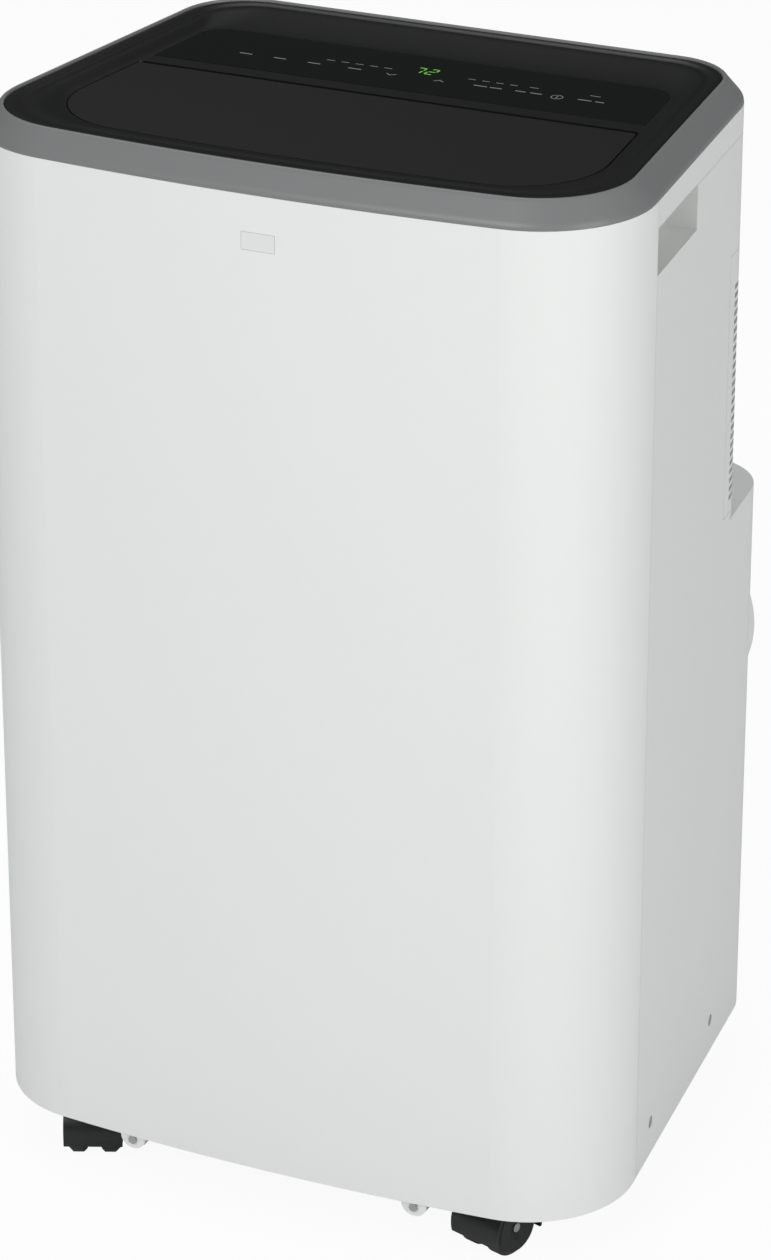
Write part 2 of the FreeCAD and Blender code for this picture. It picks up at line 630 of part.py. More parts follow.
# ---------------------------------------------------------------- top
def make_top_frame():
    skirt = common("frame_skirt_rear",
                   ring("frame_skirt", "upper_depth", "0", "wall", FRAME_LOW, SHELL_TOP),
                   block("frame_half", WIDE, BEHIND_SEAM, ("0", "overall_height")))
    ledge_inset = "wall + fit_gap"
    ledge = ring("frame_ledge_ring", "upper_depth", ledge_inset, f"frame_ledge - {ledge_inset}",
                 f"{SHELL_TOP} - frame_lip", SHELL_TOP)
    bridge = common("frame_bridge_rear",
                    ring("frame_bridge", "upper_depth", "wall / 2", "wall * 2",
                         f"{SHELL_TOP} - frame_lip", SHELL_TOP),
                    block("frame_bridge_half", WIDE, BEHIND_SEAM, ("0", "overall_height")))
    roofs = []
    for side, reach in (("right", ("width / 2 - grip_reach - 10", "width")),
                        ("left", ("0 - width", "0 - (width / 2 - grip_reach - 10)"))):
        roofs.append(block(f"grip_roof_{side}", reach,
                           (behind("seam_depth + seam_gap / 2"), behind("grip_rear + wall")),
                           (FRAME_LOW, f"{FRAME_LOW} + 4")))
    roof = common("grip_roofs", fuse("grip_roof_pair", *roofs),
                  slab("grip_roof_limit", "upper_depth", "wall / 2", FRAME_LOW, SHELL_TOP))
    return node("top_frame", fuse("top_frame", skirt, ledge, bridge, roof))


def make_top_trim_ring():
    solid = blend("trim_solid", plan("trim_low", "upper_depth", SHELL_TOP, "0"),
                  plan("trim_high", "upper_depth", "overall_height", "trim_inset"))
    hole = slab("trim_hole", "upper_depth", "trim_inset + trim_lip", f"{SHELL_TOP} - 1", "overall_height + 1")
    return node("top_trim_ring", cut("top_trim_ring", solid, hole))


def door_outline(name, level, gap):
    """Louver door's plan, or its opening when gap is 0."""
    return casing_outline(name, f"door_rear + door_slot - ({gap}) * door_slot / door_gap", level,
                          f"floor_front + ({gap})", f"floor_side + ({gap})", "0",
                          f"{FLOOR_CORNERS[0]} - ({gap})", "door_rear_corner")


def past_rim(rim, floor):
    """Continues the cover's inner slope from the floor past the rim, 2 mm higher."""
    return f"({rim}) + (({rim}) - ({floor})) * 2 / (cover_recess - cover_drop)"


def make_top_cover():
    pairs = [("rim_front", "floor_front"), ("rim_side", "floor_side"), ("rim_rear", "floor_rear"),
             ("front_radius - rim_corner", FLOOR_CORNERS[0]),
             ("upper_rear_radius - rim_rear_corner", FLOOR_CORNERS[1])]
    solid = slab("cover_solid", "upper_depth", COVER_INSET, SHELL_TOP, "overall_height - cover_drop")
    floor = casing_outline("cover_floor_line", "upper_depth", COVER_FLOOR, "floor_front", "floor_side",
                           "floor_rear", *FLOOR_CORNERS)
    rim_high = casing_outline("cover_rim_high", "upper_depth", "overall_height + 1",
                              *[past_rim(*pair) for pair in pairs])
    dish = blend("cover_dish", floor, rim_high)
    door_hole = raise_sketch("cover_door_hole", door_outline("door_hole_line", f"{SHELL_TOP} - 1", "0"),
                             "trim_height")
    seat = panel_solid("cover_panel_seat", "panel_gap", "trim_height")
    under = slab("cover_under", "upper_depth", "frame_ledge + 2", f"{SHELL_TOP} - 1", f"{COVER_FLOOR} - cover_wall")
    display = block("cover_display_hole", ("0 - display_width / 2", "display_width / 2"),
                    (behind("display_front"), behind("display_front + display_depth")),
                    (SHELL_TOP, "overall_height"))
    pieces = [cut("cover_plate", solid, dish, door_hole, seat, under, display)]
    bore = rod("cover_hinge_bore", "x", "hinge_radius + running_gap", "0 - width", "width", (HINGE_Y, HINGE_Z))
    for side, sign in (("left", -1), ("right", 1)):
        ends = [f"{sign} * ({HINGE_EAR_X} - 4)", f"{sign} * ({HINGE_EAR_X} + 4)"]
        pieces.append(block(f"cover_ear_{side}", ends[::sign], (behind("door_rear - 9"), behind("door_rear + 3")),
                            (SHELL_TOP, f"{COVER_FLOOR} + 1.5")))
    for number, x in enumerate(("0 - (board_width / 2 - 20)", "board_width / 2 - 20")):
        for deep, y in (("front", "panel_front + board_margin + 7"), ("rear", "panel_rear - board_margin - 7")):
            pieces.append(rod(f"board_post_{number}_{deep}", "z", "3", f"{COVER_FLOOR} - cover_wall - board_drop",
                              f"{COVER_FLOOR} - cover_wall", (x, behind(y))))
    return node("top_cover", cut("top_cover", fuse("cover_whole", *pieces), bore))


def panel_solid(name, gap, height):
    """Glossy control panel, grown by a gap: straight front edge, sides that follow the casing, round rear corners."""
    level = f"{COVER_FLOOR} - panel_thickness + panel_proud"
    outline = casing_outline(name + "_line", "panel_rear", level, "panel_front - 2 * front_bow",
                             f"floor_side + 1 - ({gap})", f"0 - ({gap})", f"4 + ({gap})", f"panel_corner + ({gap})")
    straight = block(name + "_straight", WIDE, (behind(f"panel_front - ({gap})"), behind("panel_rear + 9")),
                     (SHELL_TOP, "overall_height + trim_height"))
    return common(name, raise_sketch(name + "_raised", outline, height), straight)


def make_control_panel():
    node("control_fascia", panel_solid("control_fascia", "0", "panel_thickness"))
    board_top = f"({COVER_FLOOR} - cover_wall - board_drop)"
    board = block("control_board", ("0 - board_width / 2", "board_width / 2"),
                  (behind("panel_front + board_margin"), behind("panel_rear - board_margin")),
                  (f"{board_top} - board_thickness", board_top))
    node("control_board", board)
    display = block("display_module", ("0 - display_width / 2 + 2", "display_width / 2 - 2"),
                    (behind("display_front + 1.5"), behind("display_front + display_depth - 1.5")),
                    (board_top, f"{COVER_FLOOR} - panel_thickness"))
    node("display_module", display)


def make_louver():
    plate = raise_sketch("door_plate", door_outline("door_line", f"{COVER_FLOOR} - door_thickness", "door_gap"),
                         "door_thickness")
    barrel = rod("door_barrel", "x", "2 * hinge_radius", f"0 - {HINGE_EAR_X} + 10", f"{HINGE_EAR_X} - 10",
                 (HINGE_Y, HINGE_Z))
    bore = rod("door_bore", "x", "hinge_radius + running_gap", "0 - width", "width", (HINGE_Y, HINGE_Z))
    node("louver_door", cut("louver_door", fuse("door_whole", plate, barrel), bore))
    node("louver_shaft", rod("louver_shaft", "x", "hinge_radius", f"0 - {HINGE_EAR_X} - 3.5", f"{HINGE_EAR_X} + 3.5",
                             (HINGE_Y, HINGE_Z)))
    can = rod("motor_can", "x", "8", f"{HINGE_EAR_X} - 11", f"{HINGE_EAR_X} + 2",
              (behind("door_rear - 3"), f"{SHELL_TOP} - 8"))
    lug = block("motor_lug", (f"{HINGE_EAR_X} - 3", f"{HINGE_EAR_X} + 3"),
                (behind("door_rear - 8"), behind("door_rear + 2")),
                (f"{SHELL_TOP} - 6", SHELL_TOP))
    node("louver_motor", fuse("louver_motor", can, lug))


def make_outlet():
    """Finger guard under the door and the tapered duct that feeds it."""
    wide, front, rear = "(duct_width / 2)", "duct_front", "duct_rear"
    frame = cut("guard_frame",
                block("guard_outer", (f"0 - {wide}", wide), (behind(front), behind(rear)),
                      (f"{SHELL_TOP} - guard_height", SHELL_TOP)),
                block("guard_inner", (f"0 - {wide} + 5", f"{wide} - 5"),
                      (behind(f"{front} + 5"), behind(f"{rear} - 5")),
                      (f"{SHELL_TOP} - 4", f"{SHELL_TOP} + 1")))
    bars = []
    count = int(value("guard_bars"))
    for number in range(count):
        x = f"(({number} - {(count - 1) / 2}) * guard_pitch)"
        bars.append(block(f"guard_bar_{number}", (f"{x} - 1", f"{x} + 1"), (behind(front), behind(rear)),
                          (f"{SHELL_TOP} - guard_height", SHELL_TOP)))
    node("outlet_guard", fuse("outlet_guard", frame, *bars))
    solids = []
    for label, thin in (("outer", "0"), ("inner", "scroll_wall")):
        wedge = doc.addObject("Part::Wedge", f"duct_{label}")
        wedge.Placement.Rotation = FreeCAD.Rotation(FreeCAD.Vector(1, 0, 0), 90)
        limits = {
            "Xmin": f"0 - upper_scroll_radius + {thin}", "Xmax": f"upper_scroll_radius - {thin}",
            "X2min": f"0 - {wide} + {thin}", "X2max": f"{wide} - {thin}",
            "Zmin": f"0 - {behind('upper_scroll_rear')} + {thin}",
            "Zmax": f"0 - {behind('upper_scroll_front')} - {thin}",
            "Z2min": f"0 - {behind(rear)} + {thin}", "Z2max": f"0 - {behind(front)} - {thin}",
            "Ymin": DUCT_LOW, "Ymax": f"{SHELL_TOP} - guard_height",
        }
        for prop, text in limits.items():
            wedge.setExpression(prop, cell(text))
        solids.append(wedge)
    node("outlet_duct", cut("outlet_duct", *solids))


# ---------------------------------------------------------------- air moving
def fan_wheel(name, radius, width, x, y, z):
    """Drum fan: a disc with a hub, a ring of forward-curved blades and an end ring."""
    body = doc.addObject("PartDesign::Body", name)
    disc = body_sketch(body, name + "_profile", "XZ_Plane", [
        ("motor_shaft + running_gap", "0"), (radius, "0"), (radius, "2"), ("14", "2"), ("11", "16"),
        ("motor_shaft + running_gap", "16")])
    turn = body.newObject("PartDesign::Revolution", name + "_disc")
    turn.Profile = disc
    turn.ReferenceAxis = (disc, ["V_Axis"])
    turn.Angle = 360
    doc.recompute()
    blade = body_sketch(body, name + "_blade_line", "XY_Plane", [
        (f"{radius} - 13", "0 - 3"), (f"{radius} - 6", "0 - 0.6"), (f"{radius} - 0.6", "3.4"),
        (f"{radius} - 1", "4.6"), (f"{radius} - 6.6", "0.8"), (f"{radius} - 13", "0 - 1.6")])
    pad = body.newObject("PartDesign::Pad", name + "_blade")
    pad.Profile = blade
    pad.setExpression("Length", cell(width))
    doc.recompute()
    pattern = body.newObject("PartDesign::PolarPattern", name + "_blades")
    pattern.Originals = [pad]
    pattern.Axis = (blade, ["N_Axis"])
    pattern.Angle = 360
    pattern.Occurrences = int(value("blade_count"))
    body.Tip = pattern
    doc.recompute()
    rim = body_sketch(body, name + "_rim_profile", "XZ_Plane", [
        (f"{radius} - 6", f"{width} - 4"), (radius, f"{width} - 4"), (radius, width), (f"{radius} - 6", width)])
    ring_turn = body.newObject("PartDesign::Revolution", name + "_rim")
    ring_turn.Profile = rim
    ring_turn.ReferenceAxis = (rim, ["V_Axis"])
    ring_turn.Angle = 360
    body.Tip = ring_turn
    body.Placement.Rotation = TURN_TO["y"]
    return node(name, place(body, x, y, z))


def fan_motor(name, radius, shaft_end, low, high, across):
    """Motor can with its shaft towards shaft_end."""
    can = rod(name + "_can", "y", radius, low, high, across)
    ends = (shaft_end, low) if value(shaft_end) < value(low) else (high, shaft_end)
    shaft = rod(name + "_shaft", "y", "motor_shaft", *ends, across)
    return node(name, fuse(name, can, shaft))


def make_upper_air():
    x, z, radius = "0", "upper_fan_z", "upper_scroll_radius"
    front, rear = behind("upper_scroll_front"), behind("upper_scroll_rear")
    outer = fuse("upper_scroll_outer", rod("upper_scroll_drum", "y", radius, front, rear, (x, z)),
                 block("upper_scroll_neck", (f"0 - {radius}", radius), (front, rear), (z, DUCT_LOW)))
    inner = fuse("upper_scroll_inner",
                 rod("upper_scroll_hollow", "y", f"{radius} - scroll_wall", f"{front} + scroll_wall",
                     f"{rear} - scroll_wall", (x, z)),
                 block("upper_neck_hollow", (f"0 - {radius} + scroll_wall", f"{radius} - scroll_wall"),
                       (f"{front} + scroll_wall", f"{rear} - scroll_wall"), (z, f"{DUCT_LOW} + 1")))
    inlet = rod("upper_inlet", "y", "upper_fan_radius - inlet_step", f"{rear} - 9", f"{rear} + 1", (x, z))
    shaft_hole = rod("upper_shaft_hole", "y", "motor_shaft + 3", f"{front} - 1", f"{front} + 9", (x, z))
    node("evaporator_fan_housing", cut("evaporator_fan_housing", outer, inner, inlet, shaft_hole))
    fan_wheel("evaporator_fan_wheel", "upper_fan_radius", "upper_fan_width", x, f"{front} + 14", z)
    fan_motor("evaporator_fan_motor", "upper_motor_radius", f"{front} + 32", f"{front} - upper_motor_length", front,
              (x, z))


def make_lower_air():
    x, z, radius = "lower_fan_x", "lower_fan_z", "lower_scroll_radius"
    front, rear = behind("lower_scroll_front"), behind("lower_scroll_rear")
    top = f"port_z + {PORT_FLANGE} + 8"
    outer = fuse("lower_scroll_outer", rod("lower_scroll_drum", "y", radius, front, rear, (x, z)),
                 block("lower_scroll_neck", (f"{x} - {radius}", f"{x} + {radius}"), (front, rear), (z, top)),
                 rod("exhaust_tube", "y", f"{PORT_BORE} + 3 + scroll_wall", f"{rear} - 1",
                     behind("lower_depth - 14.5"), ("port_x", "port_z")))
    inner = fuse("lower_scroll_inner",
                 rod("lower_scroll_hollow", "y", f"{radius} - scroll_wall", f"{front} + scroll_wall",
                     f"{rear} - scroll_wall", (x, z)),
                 block("lower_neck_hollow", (f"{x} - {radius} + scroll_wall", f"{x} + {radius} - scroll_wall"),
                       (f"{front} + scroll_wall", f"{rear} - scroll_wall"), (z, f"{top} - scroll_wall")),
                 rod("exhaust_hollow", "y", f"{PORT_BORE} + 3", f"{rear} - 9", behind("lower_depth"),
                     ("port_x", "port_z")))
    inlet = rod("lower_inlet", "y", "lower_fan_radius - inlet_step", f"{front} - 1", f"{front} + 9", (x, z))
    shaft_hole = rod("lower_shaft_hole", "y", "motor_shaft + 3", f"{rear} - 9", f"{rear} + 1", (x, z))
    node("condenser_fan_housing", cut("condenser_fan_housing", outer, inner, inlet, shaft_hole))
    fan_wheel("condenser_fan_wheel", "lower_fan_radius", "lower_fan_width", x, f"{front} + 10", z)
    fan_motor("condenser_fan_motor", "lower_motor_radius", f"{front} + 12", rear,
              behind("lower_depth - lower_motor_gap"), (x, z))


def make_hose_port():
    across = ("port_x", "port_z")
    ring_solid = fuse("port_solid",
                      rod("port_disc", "y", PORT_FLANGE, behind("lower_depth - 11"),
                          behind("lower_depth + 2.5"), across),
                      rod("port_spigot", "y", f"{COLLAR_BORE} - 0.3", behind("lower_depth + 2"),
                          behind("lower_depth + 28"), across))
    bore = rod("port_passage", "y", PORT_BORE, behind("lower_depth - 40"), behind("lower_depth + 50"), across)
    node("hose_port_ring", cut("hose_port_ring", ring_solid, bore))
    reach = "collar_reach - 2.8"
    collar = turned("hose_collar", "y", [
        (COLLAR_BORE, "0"), ("collar_radius + 3", "0"), ("collar_radius + 3", "3"), ("collar_radius", "7"),
        ("collar_radius", f"{reach} - 1"), ("collar_radius - 1", reach), (COLLAR_BORE, reach)],
        "port_x", behind("lower_depth + 2.8"), "port_z")
    node("hose_collar", collar)


# ---------------------------------------------------------------- refrigeration
def heat_exchanger(name, low_x, high_x, front, low, high, bend_count):
    """Fin pack in one node, and its return bends at both ends in another."""
    rear = f"{front} + coil_thickness"
    node(name + "_fins", block(name + "_fins", (low_x, high_x), (front, rear), (low, high)))
    bends = []
    pitch = f"(({high}) - ({low})) / {bend_count}"
    for number in range(bend_count):
        z = f"({low}) + ({number} + 0.5) * {pitch}"
        for side, x, turn in (("left", low_x, -90), ("right", high_x, 90)):
            bend = doc.addObject("Part::Torus", f"{name}_bend_{side}_{number}")
            bend.setExpression("Radius1", cell(f"{pitch} / 4"))
            bend.setExpression("Radius2", cell("tube_radius"))
            bend.Angle3 = 180
            upright = FreeCAD.Rotation(FreeCAD.Vector(1, 0, 0), 90)
            bend.Placement.Rotation = FreeCAD.Rotation(FreeCAD.Vector(0, 1, 0), turn).multiply(upright)
            bends.append(place(bend, x, f"{front} + coil_thickness / 2", z))
    node(name + "_bends", group(name + "_bends", *bends))


def pipe(name, radius, points):
    """Round pipe along straight runs joined by tangent bends."""
    spots = [FreeCAD.Vector(*[value(text) for text in point]) for point in points]
    tube = value(radius)
    bend = 3 * tube
    edges = []
    start = spots[0]
    for before, here, after in zip(spots, spots[1:], spots[2:]):
        leave = (before - here).normalize()
        arrive = (after - here).normalize()
        middle = (leave + arrive).normalize()
        half = leave.getAngle(arrive) / 2
        setback = bend / math.tan(half)
        first, last = here + leave * setback, here + arrive * setback
        crown = here + middle * (bend / math.sin(half) - bend)
        edges += [Part.LineSegment(start, first).toShape(), Part.Arc(first, crown, last).toShape()]
        start = last
    edges.append(Part.LineSegment(start, spots[-1]).toShape())
    path = Part.Wire(edges)
    along = spots[1] - spots[0]
    section = Part.Wire(Part.Circle(spots[0], along, tube).toShape())
    item = doc.addObject("Part::Feature", name)
    item.Shape = path.makePipeShell([section], True, False)
    return node(name, item)


def make_refrigeration():
    heat_exchanger("evaporator", "coil_left", "evaporator_right", behind("evaporator_depth"),
                   f"{DECK_TOP} + evaporator_lift", "intake_high - 6", 6)
    heat_exchanger("condenser", "coil_left", "condenser_right", behind("condenser_depth"),
                   f"{BASE_TOP} + condenser_lift", "deck_level - 8", 9)
    x, y = "compressor_x", behind("compressor_depth")
    foot = f"({BASE_TOP} + grommet_height)"
    radius = "compressor_radius"
    can = turned("compressor", "z", [
        ("0", foot), (f"{radius} + 16", foot), (f"{radius} + 16", f"{foot} + 3"), (radius, f"{foot} + 3"),
        (radius, "compressor_top - 22"), (f"{radius} - 8", "compressor_top - 10"),
        (f"{radius} - 28", "compressor_top"), ("0", "compressor_top")], x, y)
    node("compressor", can)
    accumulator = turned("accumulator", "z", [
        ("0", "accumulator_low"), ("accumulator_radius - 10", "accumulator_low"),
        ("accumulator_radius", "accumulator_low + 14"), ("accumulator_radius", "accumulator_high - 14"),
        ("accumulator_radius - 10", "accumulator_high"), ("0", "accumulator_high")], ACCUMULATOR_X, y)
    node("accumulator", accumulator)
    feet = []
    for number in range(3):
        angle = 90 + 120 * number
        feet.append(rod(f"grommet_{number}", "z", "9", BASE_TOP, foot,
                        (f"{x} + ({radius} + 4) * {math.cos(math.radians(angle)):.4f}",
                         f"{y} + ({radius} + 4) * {math.sin(math.radians(angle)):.4f}")))
    node("compressor_grommets", group("compressor_grommets", *feet))
    level = f"{DECK_TOP} + 18"
    pipe("suction_pipe", "suction_radius", [
        ("coil_left", behind("suction_depth"), level), (ACCUMULATOR_X, behind("suction_depth"), level),
        (ACCUMULATOR_X, behind("suction_depth"), "accumulator_high + 70"),
        (ACCUMULATOR_X, y, "accumulator_high + 70"), (ACCUMULATOR_X, y, "accumulator_high")])
    pipe("discharge_pipe", "discharge_radius", [
        (x, y, "compressor_top"), (x, y, "compressor_top + 40"),
        (x, behind("condenser_depth"), "compressor_top + 40")])
    pipe("capillary_tube", "capillary_radius", [
        ("capillary_x", behind("condenser_depth"), "capillary_low"),
        ("capillary_x", behind("capillary_depth"), "capillary_low"),
        ("capillary_x", behind("capillary_depth"), f"{DECK_TOP} + 40"),
        ("capillary_x", behind("evaporator_depth"), f"{DECK_TOP} + 40")])


# ---------------------------------------------------------------- base, deck, electrics
def caster_places():
    """Name, x, y and the angle at which each caster happens to stand."""
    front, rear = behind("front_caster_depth"), behind("rear_caster_depth")
    front_x, rear_x = "(width / 2 - front_caster_inset)", "(width / 2 - rear_caster_inset)"
    return [("front_left", f"0 - {front_x}", front, 24), ("front_right", front_x, front, -17),
            ("rear_left", f"0 - {rear_x}", rear, 160), ("rear_right", rear_x, rear, 205)]


def make_base_pan():
    inset = "wall + fit_gap"
    floor = slab("base_floor_plate", "lower_depth", inset, BASE_FLOOR, BASE_TOP)
    rim = ring("base_rim", "lower_depth", inset, "base_wall", "base_rim_low", "base_rim_high")
    pieces = [floor, rim]
    cuts = []
    for label, x, y, yaw in caster_places():
        cuts.append(rod(f"socket_hole_{label}", "z", "socket_radius", f"{BASE_FLOOR} - 1", f"{BASE_TOP} + 1", (x, y)))
    for side, x in (("left", "0 - ear_x"), ("right", "ear_x")):
        web = block(f"ear_web_{side}", (f"{x} - 6", f"{x} + 6"), (behind("ear_back"), behind("ear_back + 14")),
                    ("ear_screw_z - 5", f"{BASE_FLOOR} + 1"))
        pieces.append(web)
        cuts.append(rod(f"ear_pilot_{side}", "y", "1.85", behind("ear_back - 1"), behind("ear_back + 13"),
                        (x, "ear_screw_z")))
    for label, place_y in SCREW_ROWS:
        cuts.append(rod(f"rim_pilots_{label}", "x", "1.8", "0 - width", "width", (place_y, "screw_z")))
    saddle = cut("lower_saddle",
                 block("lower_saddle_block", ("lower_fan_x - 30", "lower_fan_x + 30"),
                       (behind("lower_scroll_front + 10"), behind("lower_scroll_rear - 10")),
                       (f"{BASE_TOP} - 1", f"{BASE_TOP} + 20")),
                 rod("lower_saddle_cut", "y", "lower_scroll_radius + 0.2", behind("lower_scroll_front"),
                     behind("lower_scroll_rear"),
                     ("lower_fan_x", "lower_fan_z")))
    pieces.append(saddle)
    for number, x in enumerate(("coil_left + 8", "condenser_right - 14")):
        pieces.append(block(f"coil_rib_{number}", (f"{x} - 5", f"{x} + 5"),
                            (behind("condenser_depth"), behind("condenser_depth + coil_thickness")),
                            (f"{BASE_TOP} - 1", f"{BASE_TOP} + condenser_lift")))
    across = ("drain_x", "drain_z")
    root = rod("drain_root", "y", "drain_collar", behind("lower_depth - 14"), REAR_WALL, across)
    spout = rod("drain_pipe", "y", "drain_radius", behind("lower_depth - 1"),
                behind("lower_depth + drain_reach"), across)
    spout_bore = rod("drain_bore", "y", "drain_radius - drain_wall", behind("lower_depth - 20"),
                     behind("lower_depth + drain_reach + 1"), across)
    boss = block("drain_boss", ("drain_x - drain_collar", "drain_x + drain_collar"),
                 (behind("lower_depth - 20"), behind("lower_depth - 5")),
                 (f"{BASE_TOP} - 1", "drain_z + drain_collar"))
    whole = fuse("base_whole", *pieces, boss, root, spout)
    return node("base_pan", cut("base_pan", whole, *cuts, spout_bore))


def make_base_fittings():
    sockets = []
    for label, x, y, yaw in caster_places():
        cup = fuse(f"socket_solid_{label}",
                   rod(f"socket_cup_{label}", "z", "socket_radius - 0.1", BASE_FLOOR, f"{BASE_FLOOR} + 24", (x, y)),
                   rod(f"socket_flange_{label}", "z", "socket_radius + 4", f"{BASE_FLOOR} - flange_thickness",
                       BASE_FLOOR, (x, y)))
        bore = rod(f"socket_bore_{label}", "z", "stem_radius + running_gap",
                   f"{BASE_FLOOR} - 4", f"{BASE_FLOOR} + 22", (x, y))
        sockets.append(cut(f"socket_{label}", cup, bore))
    node("caster_sockets", group("caster_sockets", *sockets))
    skid = block("front_skid_block", ("skid_x - skid_length / 2", "skid_x + skid_length / 2"),
                 (behind("skid_front"), behind("skid_front + skid_width")), ("skid_low", BASE_FLOOR))
    bevel = doc.addObject("Part::Chamfer", "front_skid")
    bevel.Base = skid
    doc.recompute()
    low_edges = [number for number, edge in enumerate(skid.Shape.Edges, start=1)
                 if abs(edge.CenterOfMass.z - skid.Shape.BoundBox.ZMin) < 0.01]
    size = value("skid_bevel")
    bevel.Edges = [(number, size, size) for number in low_edges]
    node("front_skid", bevel)
    barrel = "drain_radius - drain_wall - 0.1"
    plug = turned("drain_plug", "y", [
        ("0", "0 - 9"), (barrel, "0 - 9"), (barrel, "0"), ("drain_radius - 0.8", "0"),
        ("drain_radius - 1.4", "4"), ("3", "4"), ("3", "8"), ("0", "8")],
        "drain_x", behind("lower_depth + drain_reach"), "drain_z")
    node("drain_plug", plug)
    gland = turned("cord_gland", "y", [
        ("3.6", "0 - 10"), ("gland_radius", "0 - 10"), ("gland_radius", "0"), ("gland_radius + 4", "0"),
        ("gland_radius + 3", "3"), ("gland_radius - 1", "4"), ("gland_radius - 3", "14"), ("3.6", "14")],
        "gland_x", REAR_WALL, "gland_z")
    node("cord_gland", gland)


def make_drain_deck():
    inset = "wall + fit_gap"
    plate = slab("deck_plate", "lower_depth", inset, "deck_level", DECK_TOP)
    rim = ring("deck_rim", "lower_depth", inset, "base_wall", "deck_level", f"{DECK_TOP} + 6")
    saddle = cut("upper_saddle",
                 block("upper_saddle_block", ("0 - 34", "34"),
                       (behind("upper_scroll_front + 12"), behind("upper_scroll_rear - 10")),
                       (f"{DECK_TOP} - 1", f"{DECK_TOP} + 16")),
                 rod("upper_saddle_cut", "y", "upper_scroll_radius + 0.2", behind("upper_scroll_front"),
                     behind("upper_scroll_rear"), ("0", "upper_fan_z")))
    pieces = [plate, rim, saddle]
    for number, x in enumerate(("coil_left + 18", "evaporator_right - 18")):
        pieces.append(block(f"deck_rib_{number}", (f"{x} - 5", f"{x} + 5"),
                            (behind("evaporator_depth"), behind("evaporator_depth + coil_thickness")),
                            (f"{DECK_TOP} - 1", f"{DECK_TOP} + evaporator_lift")))
    for number, x in enumerate(("0 - (box_width / 2 - 16)", "box_width / 2 - 16")):
        pieces.append(block(f"box_rib_{number}", (f"{x} - 4", f"{x} + 4"),
                            (behind("box_front"), behind("box_front + box_depth - 4")),
                            (f"{DECK_TOP} - 1", f"{DECK_TOP} + box_lift")))
    suction = rod("deck_suction_hole", "z", "suction_radius + 3", "deck_level - 1", f"{DECK_TOP} + 20",
                  (ACCUMULATOR_X, behind("suction_depth")))
    capillary = rod("deck_capillary_hole", "z", "capillary_radius + 2.5", "deck_level - 1", f"{DECK_TOP} + 20",
                    ("capillary_x", behind("capillary_depth")))
    return node("drain_deck", cut("drain_deck", fuse("deck_whole", *pieces), suction, capillary))


def make_electrics():
    low, high = f"({DECK_TOP} + box_lift)", f"({DECK_TOP} + box_lift + box_height)"
    front, rear = behind("box_front"), behind("box_front + box_depth")
    left, right = "0 - box_width / 2", "box_width / 2"
    box = cut("electric_box", block("box_outer", (left, right), (f"{front} + box_wall", rear), (low, high)),
              block("box_inner", (f"{left} + box_wall", f"{right} - box_wall"), (front, f"{rear} - box_wall"),
                    (f"{low} + box_wall", f"{high} - box_wall")))
    node("electric_box", box)
    cover = block("electric_box_cover", (left, right), (front, f"{front} + box_wall"), (low, high))
    node("electric_box_cover", cover)
    board = block("power_board", (f"{left} + 20", f"{right} - 60"),
                  (f"{rear} - box_wall - 4", f"{rear} - box_wall"), (f"{low} + 12", f"{high} - 40"))
    node("power_board", board)
    can = rod("run_capacitor", "z", "capacitor_radius", f"{low} + box_wall", f"{low} + box_wall + capacitor_height",
              (f"{right} - capacitor_radius - 9", f"{rear} - box_wall - capacitor_radius - 1"))
    node("run_capacitor", can)


